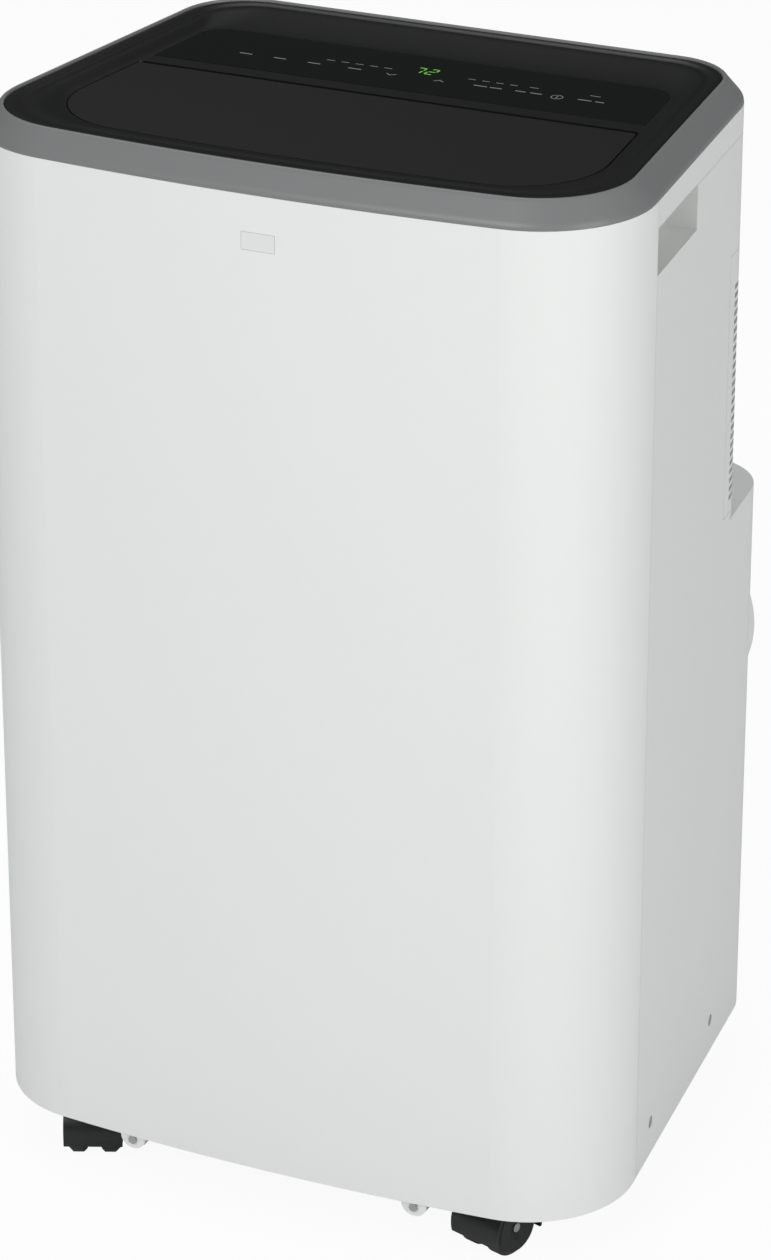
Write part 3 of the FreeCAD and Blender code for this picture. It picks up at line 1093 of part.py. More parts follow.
# ---------------------------------------------------------------- casters
def make_caster(label, x, y, yaw):
    """Twin-wheel caster, first built with its stem on the origin and then turned and moved."""
    axle_y = "(0 - caster_trail)"
    half = "(wheel_spacing / 2 + wheel_width)"
    across = (axle_y, "wheel_radius")
    hood_radius = "(wheel_radius + hood_gap + hood_wall)"
    drum = rod(f"hood_drum_{label}", "x", hood_radius, f"0 - {half} - 1.5", f"{half} + 1.5", across)
    hollow = [rod(f"hood_hollow_{label}_{side}", "x", "wheel_radius + hood_gap", low, high, across)
              for side, low, high in (("left", f"0 - {half} - 2", "0 - wheel_spacing / 2 + 1"),
                                      ("right", "wheel_spacing / 2 - 1", f"{half} + 2"))]
    trimmed = block(f"hood_keep_{label}", ("0 - 40", "40"), ("0 - 60", "40"), ("wheel_radius - 7", "60"))
    hood = cut(f"hood_{label}", common(f"hood_upper_{label}", drum, trimmed), *hollow)
    neck = rod(f"neck_{label}", "z", "9", "wheel_radius - 4", f"{BASE_FLOOR} - flange_thickness - 0.3", ("0", "0"))
    bracket = common(f"bracket_{label}",
                     block(f"bracket_block_{label}", ("0 - wheel_spacing / 2 + 1", "wheel_spacing / 2 - 1"),
                           (f"{axle_y} - 9", "9"), ("wheel_radius - 9", "wheel_radius + 20")),
                     rod(f"bracket_limit_{label}", "x", hood_radius, "0 - 30", "30", across))
    stem = rod(f"stem_{label}", "z", "stem_radius", f"{BASE_FLOOR} - 8", f"{BASE_FLOOR} + 20", ("0", "0"))
    clear = [rod(f"neck_clear_{label}_{side}", "x", "wheel_radius + hood_gap", low, high, across)
             for side, low, high in (("left", "0 - 30", "0 - wheel_spacing / 2 + 1"),
                                     ("right", "wheel_spacing / 2 - 1", "30"))]
    bore = rod(f"fork_bore_{label}", "x", "axle_radius + running_gap", "0 - 30", "30", across)
    whole = fuse(f"fork_whole_{label}", hood, cut(f"neck_trim_{label}", neck, *clear), bracket, stem)
    fork = cut(f"fork_{label}", whole, bore)
    axle = rod(f"axle_{label}", "x", "axle_radius", f"0 - {half} + 1", f"{half} - 1", across)
    wheels = []
    for side, sign in (("left", -1), ("right", 1)):
        inner, outer = "(wheel_spacing / 2)", half
        profile = [("axle_radius + running_gap", inner), ("wheel_radius - 2", inner),
                   ("wheel_radius", f"{inner} + 2"),
                   ("wheel_radius", f"{outer} - 4"), ("wheel_radius - 4", outer), ("8", outer),
                   ("axle_radius + running_gap", f"{outer} - 2")]
        if sign < 0:
            profile = [(radius, f"0 - ({along})") for radius, along in reversed(profile)]
        wheels.append(turned(f"wheel_{label}_{side}", "x", profile, y=axle_y, z="wheel_radius"))
    for kind, item in (("fork", fork), ("axle", axle), ("wheels", group(f"pair_{label}", *wheels))):
        turned_group = group(f"caster_{kind}_{label}", item)
        turned_group.Placement.Rotation = FreeCAD.Rotation(FreeCAD.Vector(0, 0, 1), yaw)
        place(turned_group, x, y)
        node(f"caster_{kind}_{label}", turned_group)


# ---------------------------------------------------------------- assembly
SCREW_ROWS = [("front", behind("screw_front")), ("rear", behind("screw_rear"))]


def main():
    make_front_panel()
    make_receiver_window()
    make_rear_casing()
    make_casing_screws()
    make_upper_intake()
    make_lower_intake()
    make_top_frame()
    make_top_trim_ring()
    make_top_cover()
    make_control_panel()
    make_louver()
    make_outlet()
    make_upper_air()
    make_lower_air()
    make_hose_port()
    make_refrigeration()
    make_base_pan()
    make_base_fittings()
    make_drain_deck()
    make_electrics()
    for caster in caster_places():
        make_caster(*caster)
    doc.recompute()
    for item in doc.Objects:
        if {"Invalid", "Error"} & set(item.State):
            raise RuntimeError(f"{item.Label} did not compute: {item.State}")
    for name, item in nodes.items():
        if item.Shape.isNull() or not item.Shape.isValid() or not item.Shape.Solids:
            raise RuntimeError(f"{name} has no valid solid")
    for name, item in nodes.items():
        item.Shape.exportStep(f"parts/{name}.step")
    print(len(nodes), "sub-parts written")


main()
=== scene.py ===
"""Looks of a floor-standing room air conditioner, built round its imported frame.

All lengths are in metres unless a name ends in _mm.  The unit stands on z = 0 with its front
towards -Y and the viewer's right towards +X.
"""

import logging
import math
from dataclasses import dataclass, field
from enum import Enum
from typing import Any, Iterable, Sequence

import bmesh
import bpy
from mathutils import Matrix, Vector


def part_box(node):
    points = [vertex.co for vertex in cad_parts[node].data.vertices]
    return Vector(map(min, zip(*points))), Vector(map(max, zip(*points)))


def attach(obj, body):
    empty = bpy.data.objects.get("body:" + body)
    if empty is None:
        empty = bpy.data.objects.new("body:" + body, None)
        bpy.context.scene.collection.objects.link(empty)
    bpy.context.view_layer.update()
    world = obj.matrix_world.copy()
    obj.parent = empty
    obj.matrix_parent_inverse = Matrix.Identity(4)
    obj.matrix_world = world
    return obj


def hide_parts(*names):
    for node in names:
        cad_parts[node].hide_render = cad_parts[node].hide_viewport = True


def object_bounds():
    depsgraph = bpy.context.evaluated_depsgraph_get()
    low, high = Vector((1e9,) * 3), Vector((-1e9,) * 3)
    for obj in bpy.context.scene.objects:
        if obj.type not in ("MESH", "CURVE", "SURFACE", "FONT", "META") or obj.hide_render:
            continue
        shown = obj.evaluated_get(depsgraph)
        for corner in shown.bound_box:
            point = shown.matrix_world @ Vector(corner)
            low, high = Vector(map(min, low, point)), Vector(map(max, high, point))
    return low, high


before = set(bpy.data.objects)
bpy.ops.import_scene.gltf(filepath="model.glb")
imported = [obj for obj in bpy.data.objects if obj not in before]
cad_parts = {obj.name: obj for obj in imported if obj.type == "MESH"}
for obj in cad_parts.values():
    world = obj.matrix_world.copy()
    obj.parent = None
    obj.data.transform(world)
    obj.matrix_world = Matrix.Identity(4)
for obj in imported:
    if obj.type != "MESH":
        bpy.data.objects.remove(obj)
CAD_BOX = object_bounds()
LOG = logging.getLogger("air_conditioner")
MM = 0.001

Point = tuple[float, float]
Spot = tuple[float, float, float]


# ---------------------------------------------------------------- colour and nodes
def linear(hex_code: str, alpha: float = 1.0) -> tuple[float, float, float, float]:
    """Turn an sRGB hex colour into linear light.

    Args:
        hex_code: six hex digits, with or without a leading hash.
        alpha: opacity to carry along.

    Returns:
        Red, green, blue and alpha for a shader socket.
    """
    digits = hex_code.lstrip("#")
    channels = [int(digits[i : i + 2], 16) / 255 for i in (0, 2, 4)]
    bright = [c / 12.92 if c <= 0.04045 else ((c + 0.055) / 1.055) ** 2.4 for c in channels]
    return (bright[0], bright[1], bright[2], alpha)


def add_node(
    tree: bpy.types.NodeTree, kind: str, inputs: dict[Any, Any] | None = None, **settings: Any
) -> bpy.types.Node:
    """Add a node, set its properties, and set or link its inputs.

    Args:
        tree: node tree that gets the node.
        kind: Blender's type name for the node.
        inputs: input name or number to a value, or to an output socket to link.
        **settings: properties of the node itself.

    Returns:
        The new node.
    """
    node = tree.nodes.new(kind)
    for name, value in settings.items():
        setattr(node, name, value)
    for key, value in (inputs or {}).items():
        if isinstance(value, bpy.types.NodeSocket):
            tree.links.new(value, node.inputs[key])
        else:
            node.inputs[key].default_value = value
    return node


# ---------------------------------------------------------------- finishes
@dataclass(frozen=True)
class Finish:
    """What every finish shares: a name, a colour and the shader's plain numbers.

    Attributes:
        name: the real material and how its surface was made.
        colour: sRGB hex of the surface.
        roughness: shader roughness.
        ior: refractive index.
        metallic: 1 for bare metal.
        mottle: strength of the slow colour variation, as a share of the colour.
        mottle_mm: size of that variation.
    """

    name: str
    colour: str
    roughness: float = 0.45
    ior: float = 1.5
    metallic: float = 0.0
    mottle: float = 0.03
    mottle_mm: float = 60.0

    def material(self) -> bpy.types.Material:
        """Return the material, made on first use."""
        found = bpy.data.materials.get(self.name)
        if found:
            return found
        material = bpy.data.materials.new(self.name)
        material.use_nodes = True
        material.diffuse_color = linear(self.colour)
        tree = material.node_tree
        shader = tree.nodes["Principled BSDF"]
        shader.inputs["Roughness"].default_value = self.roughness
        shader.inputs["Metallic"].default_value = self.metallic
        if not self.metallic:
            shader.inputs["IOR"].default_value = self.ior
        self.dress(tree, shader, self.place(tree))
        return material

    def place(self, tree: bpy.types.NodeTree) -> bpy.types.NodeSocket:
        """Return the surface's own place in metres, which moves with the piece."""
        return add_node(tree, "ShaderNodeTexCoord").outputs["Object"]

    def mottled(
        self, tree: bpy.types.NodeTree, place: bpy.types.NodeSocket
    ) -> bpy.types.NodeSocket:
        """Return the colour with its slow, faint variation."""
        noise = add_node(
            tree,
            "ShaderNodeTexNoise",
            {"Vector": place, "Scale": 1 / (self.mottle_mm * MM), "Detail": 3.0},
        )
        dark = tuple(c * (1 - self.mottle) for c in linear(self.colour)[:3]) + (1.0,)
        mix = add_node(
            tree,
            "ShaderNodeMix",
            {0: noise.outputs["Fac"], 6: dark, 7: linear(self.colour)},
            data_type="RGBA",
        )
        return mix.outputs[2]

    def dress(
        self, tree: bpy.types.NodeTree, shader: bpy.types.Node, place: bpy.types.NodeSocket
    ) -> None:
        """Connect the finish's own pattern to the shader."""
        tree.links.new(self.mottled(tree, place), shader.inputs["Base Color"])


@dataclass(frozen=True)
class MouldedPlastic(Finish):
    """Injection-moulded plastic with the fine spark-eroded grain of its mould.

    Attributes:
        grain_mm: spacing of the grain.
        grain_depth_mm: height of the grain.
        wave_mm: spacing of the slow waviness that gloss shows up, 0 for none.
        wave_depth_mm: height of that waviness.
        coat: clear gloss over the colour.
    """

    grain_mm: float = 0.9
    grain_depth_mm: float = 0.02
    wave_mm: float = 0.0
    wave_depth_mm: float = 0.0
    coat: float = 0.0

    def dress(
        self, tree: bpy.types.NodeTree, shader: bpy.types.Node, place: bpy.types.NodeSocket
    ) -> None:
        """Grain and waviness as bumps, and a roughness that follows the grain."""
        super().dress(tree, shader, place)
        grain = add_node(
            tree,
            "ShaderNodeTexNoise",
            {"Vector": place, "Scale": 1 / (self.grain_mm * MM), "Detail": 2.0},
        )
        spread = add_node(
            tree,
            "ShaderNodeMapRange",
            {
                "Value": grain.outputs["Fac"],
                "To Min": self.roughness - 0.04,
                "To Max": self.roughness + 0.04,
            },
        )
        tree.links.new(spread.outputs["Result"], shader.inputs["Roughness"])
        bump = add_node(
            tree,
            "ShaderNodeBump",
            {
                "Height": grain.outputs["Fac"],
                "Distance": self.grain_depth_mm * MM,
                "Strength": 1.0,
            },
        )
        if self.wave_mm:
            wave = add_node(
                tree,
                "ShaderNodeTexNoise",
                {"Vector": place, "Scale": 1 / (self.wave_mm * MM), "Detail": 1.0},
            )
            bump = add_node(
                tree,
                "ShaderNodeBump",
                {
                    "Height": wave.outputs["Fac"],
                    "Distance": self.wave_depth_mm * MM,
                    "Strength": 1.0,
                    "Normal": bump.outputs["Normal"],
                },
            )
        tree.links.new(bump.outputs["Normal"], shader.inputs["Normal"])
        shader.inputs["Coat Weight"].default_value = self.coat
        shader.inputs["Coat Roughness"].default_value = 0.06


@dataclass(frozen=True)
class BrushedMetal(Finish):
    """Rolled or drawn metal, with fine lines along one direction.

    Attributes:
        line_mm: spacing of the lines.
        stretch: how much longer than wide the lines are, along x, y and z.
    """

    line_mm: float = 0.6
    stretch: Spot = (1.0, 1.0, 12.0)

    def dress(
        self, tree: bpy.types.NodeTree, shader: bpy.types.Node, place: bpy.types.NodeSocket
    ) -> None:
        """Lines in the roughness and as a bump."""
        super().dress(tree, shader, place)
        scale = tuple(1 / s for s in self.stretch)
        stretched = add_node(tree, "ShaderNodeMapping", {"Vector": place, "Scale": scale})
        lines = add_node(
            tree,
            "ShaderNodeTexNoise",
            {
                "Vector": stretched.outputs["Vector"],
                "Scale": 1 / (self.line_mm * MM),
                "Detail": 2.0,
            },
        )
        spread = add_node(
            tree,
            "ShaderNodeMapRange",
            {
                "Value": lines.outputs["Fac"],
                "To Min": self.roughness - 0.08,
                "To Max": self.roughness + 0.08,
            },
        )
        tree.links.new(spread.outputs["Result"], shader.inputs["Roughness"])
        bump = add_node(
            tree,
            "ShaderNodeBump",
            {"Height": lines.outputs["Fac"], "Distance": 0.02 * MM, "Strength": 0.6},
        )
        tree.links.new(bump.outputs["Normal"], shader.inputs["Normal"])


@dataclass(frozen=True)
class FinPack(Finish):
    """Stack of thin aluminium fins: bright edges, with painted shade in dark stripes for the gaps between them.

    Attributes:
        pitch_mm: spacing of the fins, drawn coarser than the real 1.4 mm so that it shows.
    """

    pitch_mm: float = 2.2

    def dress(
        self, tree: bpy.types.NodeTree, shader: bpy.types.Node, place: bpy.types.NodeSocket
    ) -> None:
        """Upright stripes as a bump, and in the colour as painted shade for the gaps."""
        stripes = add_node(
            tree,
            "ShaderNodeTexWave",
            {"Vector": place, "Scale": math.pi / 10 / (self.pitch_mm * MM), "Distortion": 0.0},
            wave_type="BANDS",
            bands_direction="X",
        )
        # The dark stripes are painted shade: the gaps between the fins are dark only from the shade that falls
        # there.
        mix = add_node(
            tree,
            "ShaderNodeMix",
            {0: stripes.outputs["Fac"], 6: linear("#2b2e31"), 7: self.mottled(tree, place)},
            data_type="RGBA",
        )
        tree.links.new(mix.outputs[2], shader.inputs["Base Color"])
        bump = add_node(
            tree,
            "ShaderNodeBump",
            {"Height": stripes.outputs["Fac"], "Distance": 0.6 * MM, "Strength": 1.0},
        )
        tree.links.new(bump.outputs["Normal"], shader.inputs["Normal"])


@dataclass(frozen=True)
class WovenNet(Finish):
    """Fine filter net: light threads in two directions, with painted shade in the holes between them.

    Attributes:
        thread_mm: spacing of the threads, drawn coarser than the real 0.6 mm so that it shows.
    """

    thread_mm: float = 1.5

    def dress(
        self, tree: bpy.types.NodeTree, shader: bpy.types.Node, place: bpy.types.NodeSocket
    ) -> None:
        """Threads in x and z, the higher of the two showing."""
        threads = [
            add_node(
                tree,
                "ShaderNodeTexWave",
                {"Vector": place, "Scale": math.pi / 10 / (self.thread_mm * MM)},
                wave_type="BANDS",
                bands_direction=way,
            ).outputs["Fac"]
            for way in ("X", "Z")
        ]
        weave = add_node(
            tree, "ShaderNodeMath", {0: threads[0], 1: threads[1]}, operation="MAXIMUM"
        )
        # The holes get a near-black painted shade, for the dark inside of the unit seen through the net.
        mix = add_node(
            tree,
            "ShaderNodeMix",
            {0: weave.outputs[0], 6: linear("#0b0c0d"), 7: self.mottled(tree, place)},
            data_type="RGBA",
        )
        tree.links.new(mix.outputs[2], shader.inputs["Base Color"])
        bump = add_node(
            tree,
            "ShaderNodeBump",
            {"Height": weave.outputs[0], "Distance": 0.3 * MM, "Strength": 0.8},
        )
        tree.links.new(bump.outputs["Normal"], shader.inputs["Normal"])


@dataclass(frozen=True)
class LitSegments(Finish):
    """Light-emitting segments behind a tinted window.

    Attributes:
        strength: brightness of the light.
    """

    strength: float = 1.0

    def dress(
        self, tree: bpy.types.NodeTree, shader: bpy.types.Node, place: bpy.types.NodeSocket
    ) -> None:
        """Colour as both surface and light."""
        super().dress(tree, shader, place)
        shader.inputs["Emission Color"].default_value = linear(self.colour)
        shader.inputs["Emission Strength"].default_value = self.strength


# Glossy moulded ABS of the front: a soft clear reflection, faintly wavy.
FRONT_ABS = MouldedPlastic(
    "gloss_white_abs_moulded", "#ECEDEB", roughness=0.3, ior=1.53, mottle=0.012, mottle_mm=180,
    grain_mm=1.2, grain_depth_mm=0.004, wave_mm=60, wave_depth_mm=0.05,
)
# Satin moulded ABS of the sides and rear: a fine grain that spreads the highlight.
CASE_ABS = MouldedPlastic(
    "satin_white_abs_moulded", "#E6E7E5", roughness=0.48, ior=1.53, mottle=0.015, mottle_mm=140,
    grain_mm=1.1, grain_depth_mm=0.02,
)
# Semi-clear ABS over the remote receiver: a shade darker than the panel, so only its joint shows.
LENS_ABS = MouldedPlastic(
    "receiver_lens_abs", "#E6E7E5", roughness=0.3, ior=1.53, mottle=0.01, grain_depth_mm=0.002,
)
# Grey satin ABS of the trim ring, an even soft sheen.
TRIM_ABS = MouldedPlastic(
    "grey_trim_abs_moulded", "#7F8080", roughness=0.4, ior=1.5, mottle=0.03, mottle_mm=90,
    grain_mm=0.8, grain_depth_mm=0.012,
)
# Black satin ABS of the top cover: dark, with soft broad highlights on its slopes.
COVER_ABS = MouldedPlastic(
    "black_cover_abs_moulded", "#131414", roughness=0.36, ior=1.5, mottle=0.12, mottle_mm=30,
    grain_mm=0.9, grain_depth_mm=0.03,
)
# Textured black ABS of the louver door: matt, the grain just visible.
DOOR_ABS = MouldedPlastic(
    "black_door_abs_textured", "#101010", roughness=0.62, ior=1.47, mottle=0.15, mottle_mm=12,
    grain_mm=1.3, grain_depth_mm=0.09,
)
# Back-painted acrylic of the touch panel: deep black under a clear mirror gloss.
PANEL_ACRYLIC = MouldedPlastic(
    "black_touch_acrylic_polished", "#0B0E0D", roughness=0.12, ior=1.49, mottle=0.05,
    grain_depth_mm=0.001, wave_mm=45, wave_depth_mm=0.02,
)
# Pad-printed grey ink of the key marks.
PRINT_INK = MouldedPlastic(
    "grey_key_ink_printed", "#8E9494", roughness=0.5, mottle=0.1, mottle_mm=4, grain_mm=0.4,
    grain_depth_mm=0.004,
)
# Green display segments.
GREEN_LIGHT = LitSegments("green_display_light", "#6CC244", roughness=0.4, strength=0.45)
# Glass-filled black nylon of casters and small fittings.
CASTER_NYLON = MouldedPlastic(
    "black_nylon_moulded", "#121414", roughness=0.4, ior=1.53, mottle=0.15, mottle_mm=9,
    grain_mm=1.0, grain_depth_mm=0.03,
)
# Slightly worn nylon treads: greyer and rougher than the forks.
WHEEL_NYLON = MouldedPlastic(
    "black_nylon_wheel_worn", "#1A1B1B", roughness=0.55, ior=1.53, mottle=0.35, mottle_mm=5,
    grain_mm=0.8, grain_depth_mm=0.05,
)
# Grey polypropylene of base pan and drain deck.
BASE_PP = MouldedPlastic(
    "grey_polypropylene_moulded", "#A2A5A6", roughness=0.55, ior=1.49, mottle=0.06, grain_mm=1.4,
    grain_depth_mm=0.03,
)
# Expanded polystyrene of the fan housings and air duct: matt white beads.
HOUSING_EPS = MouldedPlastic(
    "white_polystyrene_beaded", "#DEDED9", roughness=0.8, ior=1.45, mottle=0.05, mottle_mm=5,
    grain_mm=3.2, grain_depth_mm=0.2,
)
# Dark glass-filled nylon of the fan wheels.
FAN_NYLON = MouldedPlastic("dark_nylon_fan_moulded", "#2B2E30", roughness=0.5, ior=1.53)
# Nitrile rubber of grommets and drain plug.
RUBBER = MouldedPlastic(
    "black_rubber_moulded", "#17181A", roughness=0.72, ior=1.5, mottle=0.2, mottle_mm=8,
    grain_mm=0.7, grain_depth_mm=0.04,
)
# Stove-enamelled steel of the compressor and accumulator.
ENAMEL = MouldedPlastic(
    "black_stove_enamel", "#15171A", roughness=0.32, ior=1.55, mottle=0.1, grain_mm=2.5,
    grain_depth_mm=0.03,
)
# Green solder mask on glass-fibre board.
BOARD = MouldedPlastic("green_circuit_board", "#1C5A30", roughness=0.38, ior=1.5, mottle=0.2, mottle_mm=3)
# Zinc-plated steel sheet and turned parts: pale, with soft rolling lines.
ZINC = BrushedMetal("zinc_plated_steel", "#B9BCBE", roughness=0.36, metallic=1.0, mottle=0.08)
# Drawn copper tube, lightly tarnished.
COPPER = BrushedMetal(
    "copper_tube_drawn", "#C77B52", roughness=0.3, metallic=1.0, mottle=0.25, mottle_mm=12,
    stretch=(8.0, 8.0, 8.0),
)
# Aluminium fins of both heat exchangers.
FINS = FinPack("aluminium_fin_pack", "#BFC3C6", roughness=0.38, metallic=0.9, mottle=0.08)
# Nylon filter net.
NET = WovenNet("nylon_filter_net", "#4A4E52", roughness=0.6)


# ---------------------------------------------------------------- meshes
def new_object(
    name: str,
    points: Sequence[Spot],
    faces: Iterable[Sequence[int]],
    finish: Finish,
    body: str,
    slot: str,
    smooth_angle: float = 40.0,
) -> bpy.types.Object:
    """Make a mesh piece, dress it and let it ride on its body.

    Args:
        name: name of the piece.
        points: vertices in the row frame, in metres.
        faces: vertex numbers of each face, wound outwards.
        finish: its finish.
        body: CAD body that it moves with.
        slot: a material slot of the record; not used.
        smooth_angle: edges sharper than this, in degrees, stay sharp.

    Returns:
        The new object.
    """
    mesh = bpy.data.meshes.new(name)
    mesh.from_pydata([tuple(p) for p in points], [], [tuple(f) for f in faces])
    mesh.validate()
    mesh.shade_smooth()
    mesh.set_sharp_from_angle(angle=math.radians(smooth_angle))
    mesh.materials.append(finish.material())
    piece = bpy.data.objects.new(name, mesh)
    bpy.context.scene.collection.objects.link(piece)
    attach(piece, body)
    LOG.info("%s: %d faces", name, len(mesh.polygons))
    return piece


def closed_band(loops: Sequence[Sequence[Spot]]) -> tuple[list[Spot], list[tuple[int, ...]]]:
    """Join loops of equal length, the last to the first, into a closed tube.

    Args:
        loops: the loops in order round the tube's section.

    Returns:
        The points and the faces.
    """
    count = len(loops[0])
    points = [spot for loop in loops for spot in loop]
    faces = []
    for row in range(len(loops)):
        after = (row + 1) % len(loops)
        for column in range(count):
            beside = (column + 1) % count
            faces.append(
                (
                    row * count + column,
                    row * count + beside,
                    after * count + beside,
                    after * count + column,
                )
            )
    return points, faces


def capped_stack(loops: Sequence[Sequence[Spot]]) -> tuple[list[Spot], list[tuple[int, ...]]]:
    """Join loops of equal length from bottom to top and close both ends with one face each."""
    points, faces = closed_band(loops)
    count = len(loops[0])
    faces = faces[: (len(loops) - 1) * count]
    faces.append(tuple(reversed(range(count))))
    faces.append(tuple(range((len(loops) - 1) * count, len(loops) * count)))
    return points, faces


# ---------------------------------------------------------------- plan of the casing
@dataclass(frozen=True)
class Inset:
    """How far an outline lies inside the casing's outer face, in millimetres.

    Attributes:
        front: inset from the bowed front.
        side: inset from the sides.
        rear: inset from the upper rear wall.
        front_corner: radius of the two front corners.
        rear_corner: radius of the two rear corners.
        level: height above the floor.
    """

    front: float
    side: float
    rear: float
    front_corner: float
    rear_corner: float
    level: float


@dataclass
class CasingPlan:
    """Plan of the upper casing: bowed front, sides that close towards the rear, round corners.

    Attributes:
        width: widest part, just behind the front corners.
        depth: front face to the upper rear wall.
        bow: rise of the bowed front.
        front_corner: radius of the front corners.
        rear_corner: radius of the upper rear corners.
        lean: how far the sides close towards the rear, in degrees.
        front_y: place of the front face.
    """

    width: float = 438.0
    depth: float = 325.0
    bow: float = 14.0
    front_corner: float = 72.0
    rear_corner: float = 56.0
    lean: float = 6.1
    front_y: float = field(default_factory=lambda: CAD_BOX[0][1] / MM)

    def even(self, inset: float, level: float) -> list[Spot]:
        """Return the outline set in evenly, at a level, both in millimetres."""
        return self.outline(
            Inset(inset, inset, inset, self.front_corner - inset, self.rear_corner - inset, level)
        )

    def outline(self, inset: Inset) -> list[Spot]:
        """Trace one closed outline, anticlockwise from the left end of the front.

        Args:
            inset: where the outline lies.

        Returns:
            Points in metres; every outline has the same number of them.
        """
        bow_radius = ((self.width / 2) ** 2 + self.bow**2) / (2 * self.bow)
        centre_y = self.front_y + bow_radius
        tight = self.width / 2 - self.front_corner
        corner_y = centre_y - math.sqrt((bow_radius - self.front_corner) ** 2 - tight**2)
        lean = math.radians(self.lean)
        out = Vector((math.cos(lean), math.sin(lean)))
        back = Vector((-math.sin(lean), math.cos(lean)))
        on_side = Vector((tight, corner_y)) + out * (self.front_corner - inset.side)
        radius = bow_radius - inset.front
        base = on_side - out * inset.front_corner - Vector((0, centre_y))
        slope = base.dot(back)
        reach = (radius - inset.front_corner) ** 2
        along = -slope - math.sqrt(slope**2 - base.length_squared + reach)
        front = on_side - out * inset.front_corner + back * along
        rear_y = self.front_y + self.depth - inset.rear
        foot = on_side - out * inset.rear_corner
        rear = foot + back * ((rear_y - inset.rear_corner - foot.y) / back.y)
        swing = math.atan2(front.y - centre_y, front.x)
        right: list[Point] = []
        right += self.sweep((0.0, centre_y), radius, -math.pi / 2, swing, 14)
        right += self.sweep(tuple(front), inset.front_corner, swing, lean, 14)
        side_start = front + out * inset.front_corner
        side_end = rear + out * inset.rear_corner
        right += [tuple(side_start.lerp(side_end, step / 8)) for step in range(8)]
        right += self.sweep(tuple(rear), inset.rear_corner, lean, math.pi / 2, 12)
        right += [(rear.x * (1 - step / 8), rear_y) for step in range(8)]
        left = [(-x, y) for x, y in reversed(right[1:])]
        loop = right + [(0.0, rear_y)] + left
        return [(x * MM, y * MM, inset.level * MM) for x, y in loop]

    @staticmethod
    def sweep(centre: Sequence[float], radius: float, start: float, end: float, steps: int) -> list[Point]:
        """Points along an arc, its last one left out."""
        angles = [start + (end - start) * step / steps for step in range(steps)]
        return [(centre[0] + radius * math.cos(a), centre[1] + radius * math.sin(a)) for a in angles]


# ---------------------------------------------------------------- sub-assemblies
class Way(Enum):
    """Which way an arrow on the panel points, seen from the front."""

    UP = 1
    DOWN = -1


@dataclass
class CarriedOverParts:
    """CAD nodes whose shape is right: each gets its finish, and soft moulded edges where they show.

    Attributes:
        finishes: finish to the nodes that it covers; a star stands for any ending.
        edge_mm: node to the width of its rounded edges.
    """

    finishes: list[tuple[Finish, list[str]]] = field(
        default_factory=lambda: [
            (FRONT_ABS, ["front_panel"]),
            (LENS_ABS, ["receiver_window"]),
            (CASE_ABS, ["rear_casing", "top_frame", "upper_intake_grille", "lower_intake_grille",
                        "hose_port_ring", "hose_collar"]),
            (TRIM_ABS, ["top_trim_ring"]),
            (COVER_ABS, ["top_cover", "outlet_guard"]),
            (DOOR_ABS, ["louver_door"]),
            (PANEL_ACRYLIC, ["control_fascia"]),
            (BOARD, ["control_board", "power_board"]),
            (RUBBER, ["compressor_grommets", "drain_plug"]),
            (ENAMEL, ["compressor", "accumulator"]),
            (CASTER_NYLON, ["caster_fork_*", "caster_sockets", "front_skid", "cord_gland",
                            "display_module"]),
            (WHEEL_NYLON, ["caster_wheels_*"]),
            (ZINC, ["caster_axle_*", "casing_screws", "panel_screws", "louver_shaft", "louver_motor",
                    "evaporator_fan_motor", "condenser_fan_motor", "electric_box",
                    "electric_box_cover", "run_capacitor"]),
            (BASE_PP, ["base_pan", "drain_deck"]),
            (HOUSING_EPS, ["outlet_duct", "evaporator_fan_housing", "condenser_fan_housing"]),
            (FAN_NYLON, ["evaporator_fan_wheel", "condenser_fan_wheel"]),
            (COPPER, ["evaporator_bends", "condenser_bends", "suction_pipe", "discharge_pipe",
                      "capillary_tube"]),
            (FINS, ["evaporator_fins", "condenser_fins"]),
            (NET, ["upper_filter_mesh", "lower_filter_mesh"]),
        ]
    )
    edge_mm: dict[str, float] = field(
        default_factory=lambda: {
            "control_fascia": 0.4, "louver_door": 0.8, "hose_collar": 0.8, "hose_port_ring": 0.8, "receiver_window": 0.5,
            "front_skid": 1.0, "cord_gland": 0.4, "drain_plug": 0.4,
        }
    )

    def build(self) -> None:
        """Dress every node."""
        dressed = set()
        for finish, patterns in self.finishes:
            for pattern in patterns:
                stem = pattern.rstrip("*")
                found = [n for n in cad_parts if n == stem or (pattern != stem and n.startswith(stem))]
                for name in found:
                    self.dress(name, finish)
                    dressed.add(name)
        left = sorted(set(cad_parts) - dressed)
        if left:
            raise ValueError(f"these nodes have no finish: {left}")
        LOG.info("%d carried-over nodes dressed", len(dressed))

    def dress(self, name: str, finish: Finish) -> None:
        """Give one node its finish, smooth curved faces and rounded edges."""
        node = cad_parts[name]
        node.data.materials.clear()
        node.data.materials.append(finish.material())
        node.data.shade_smooth()
        node.data.set_sharp_from_angle(angle=math.radians(32))
        width = self.edge_mm.get(name, 0)
        if width:
            bevel = node.modifiers.new("moulded_edge", "BEVEL")
            bevel.width = width * MM
            bevel.segments = 3
            bevel.limit_method = "ANGLE"
            bevel.angle_limit = math.radians(50)
            bevel.harden_normals = True


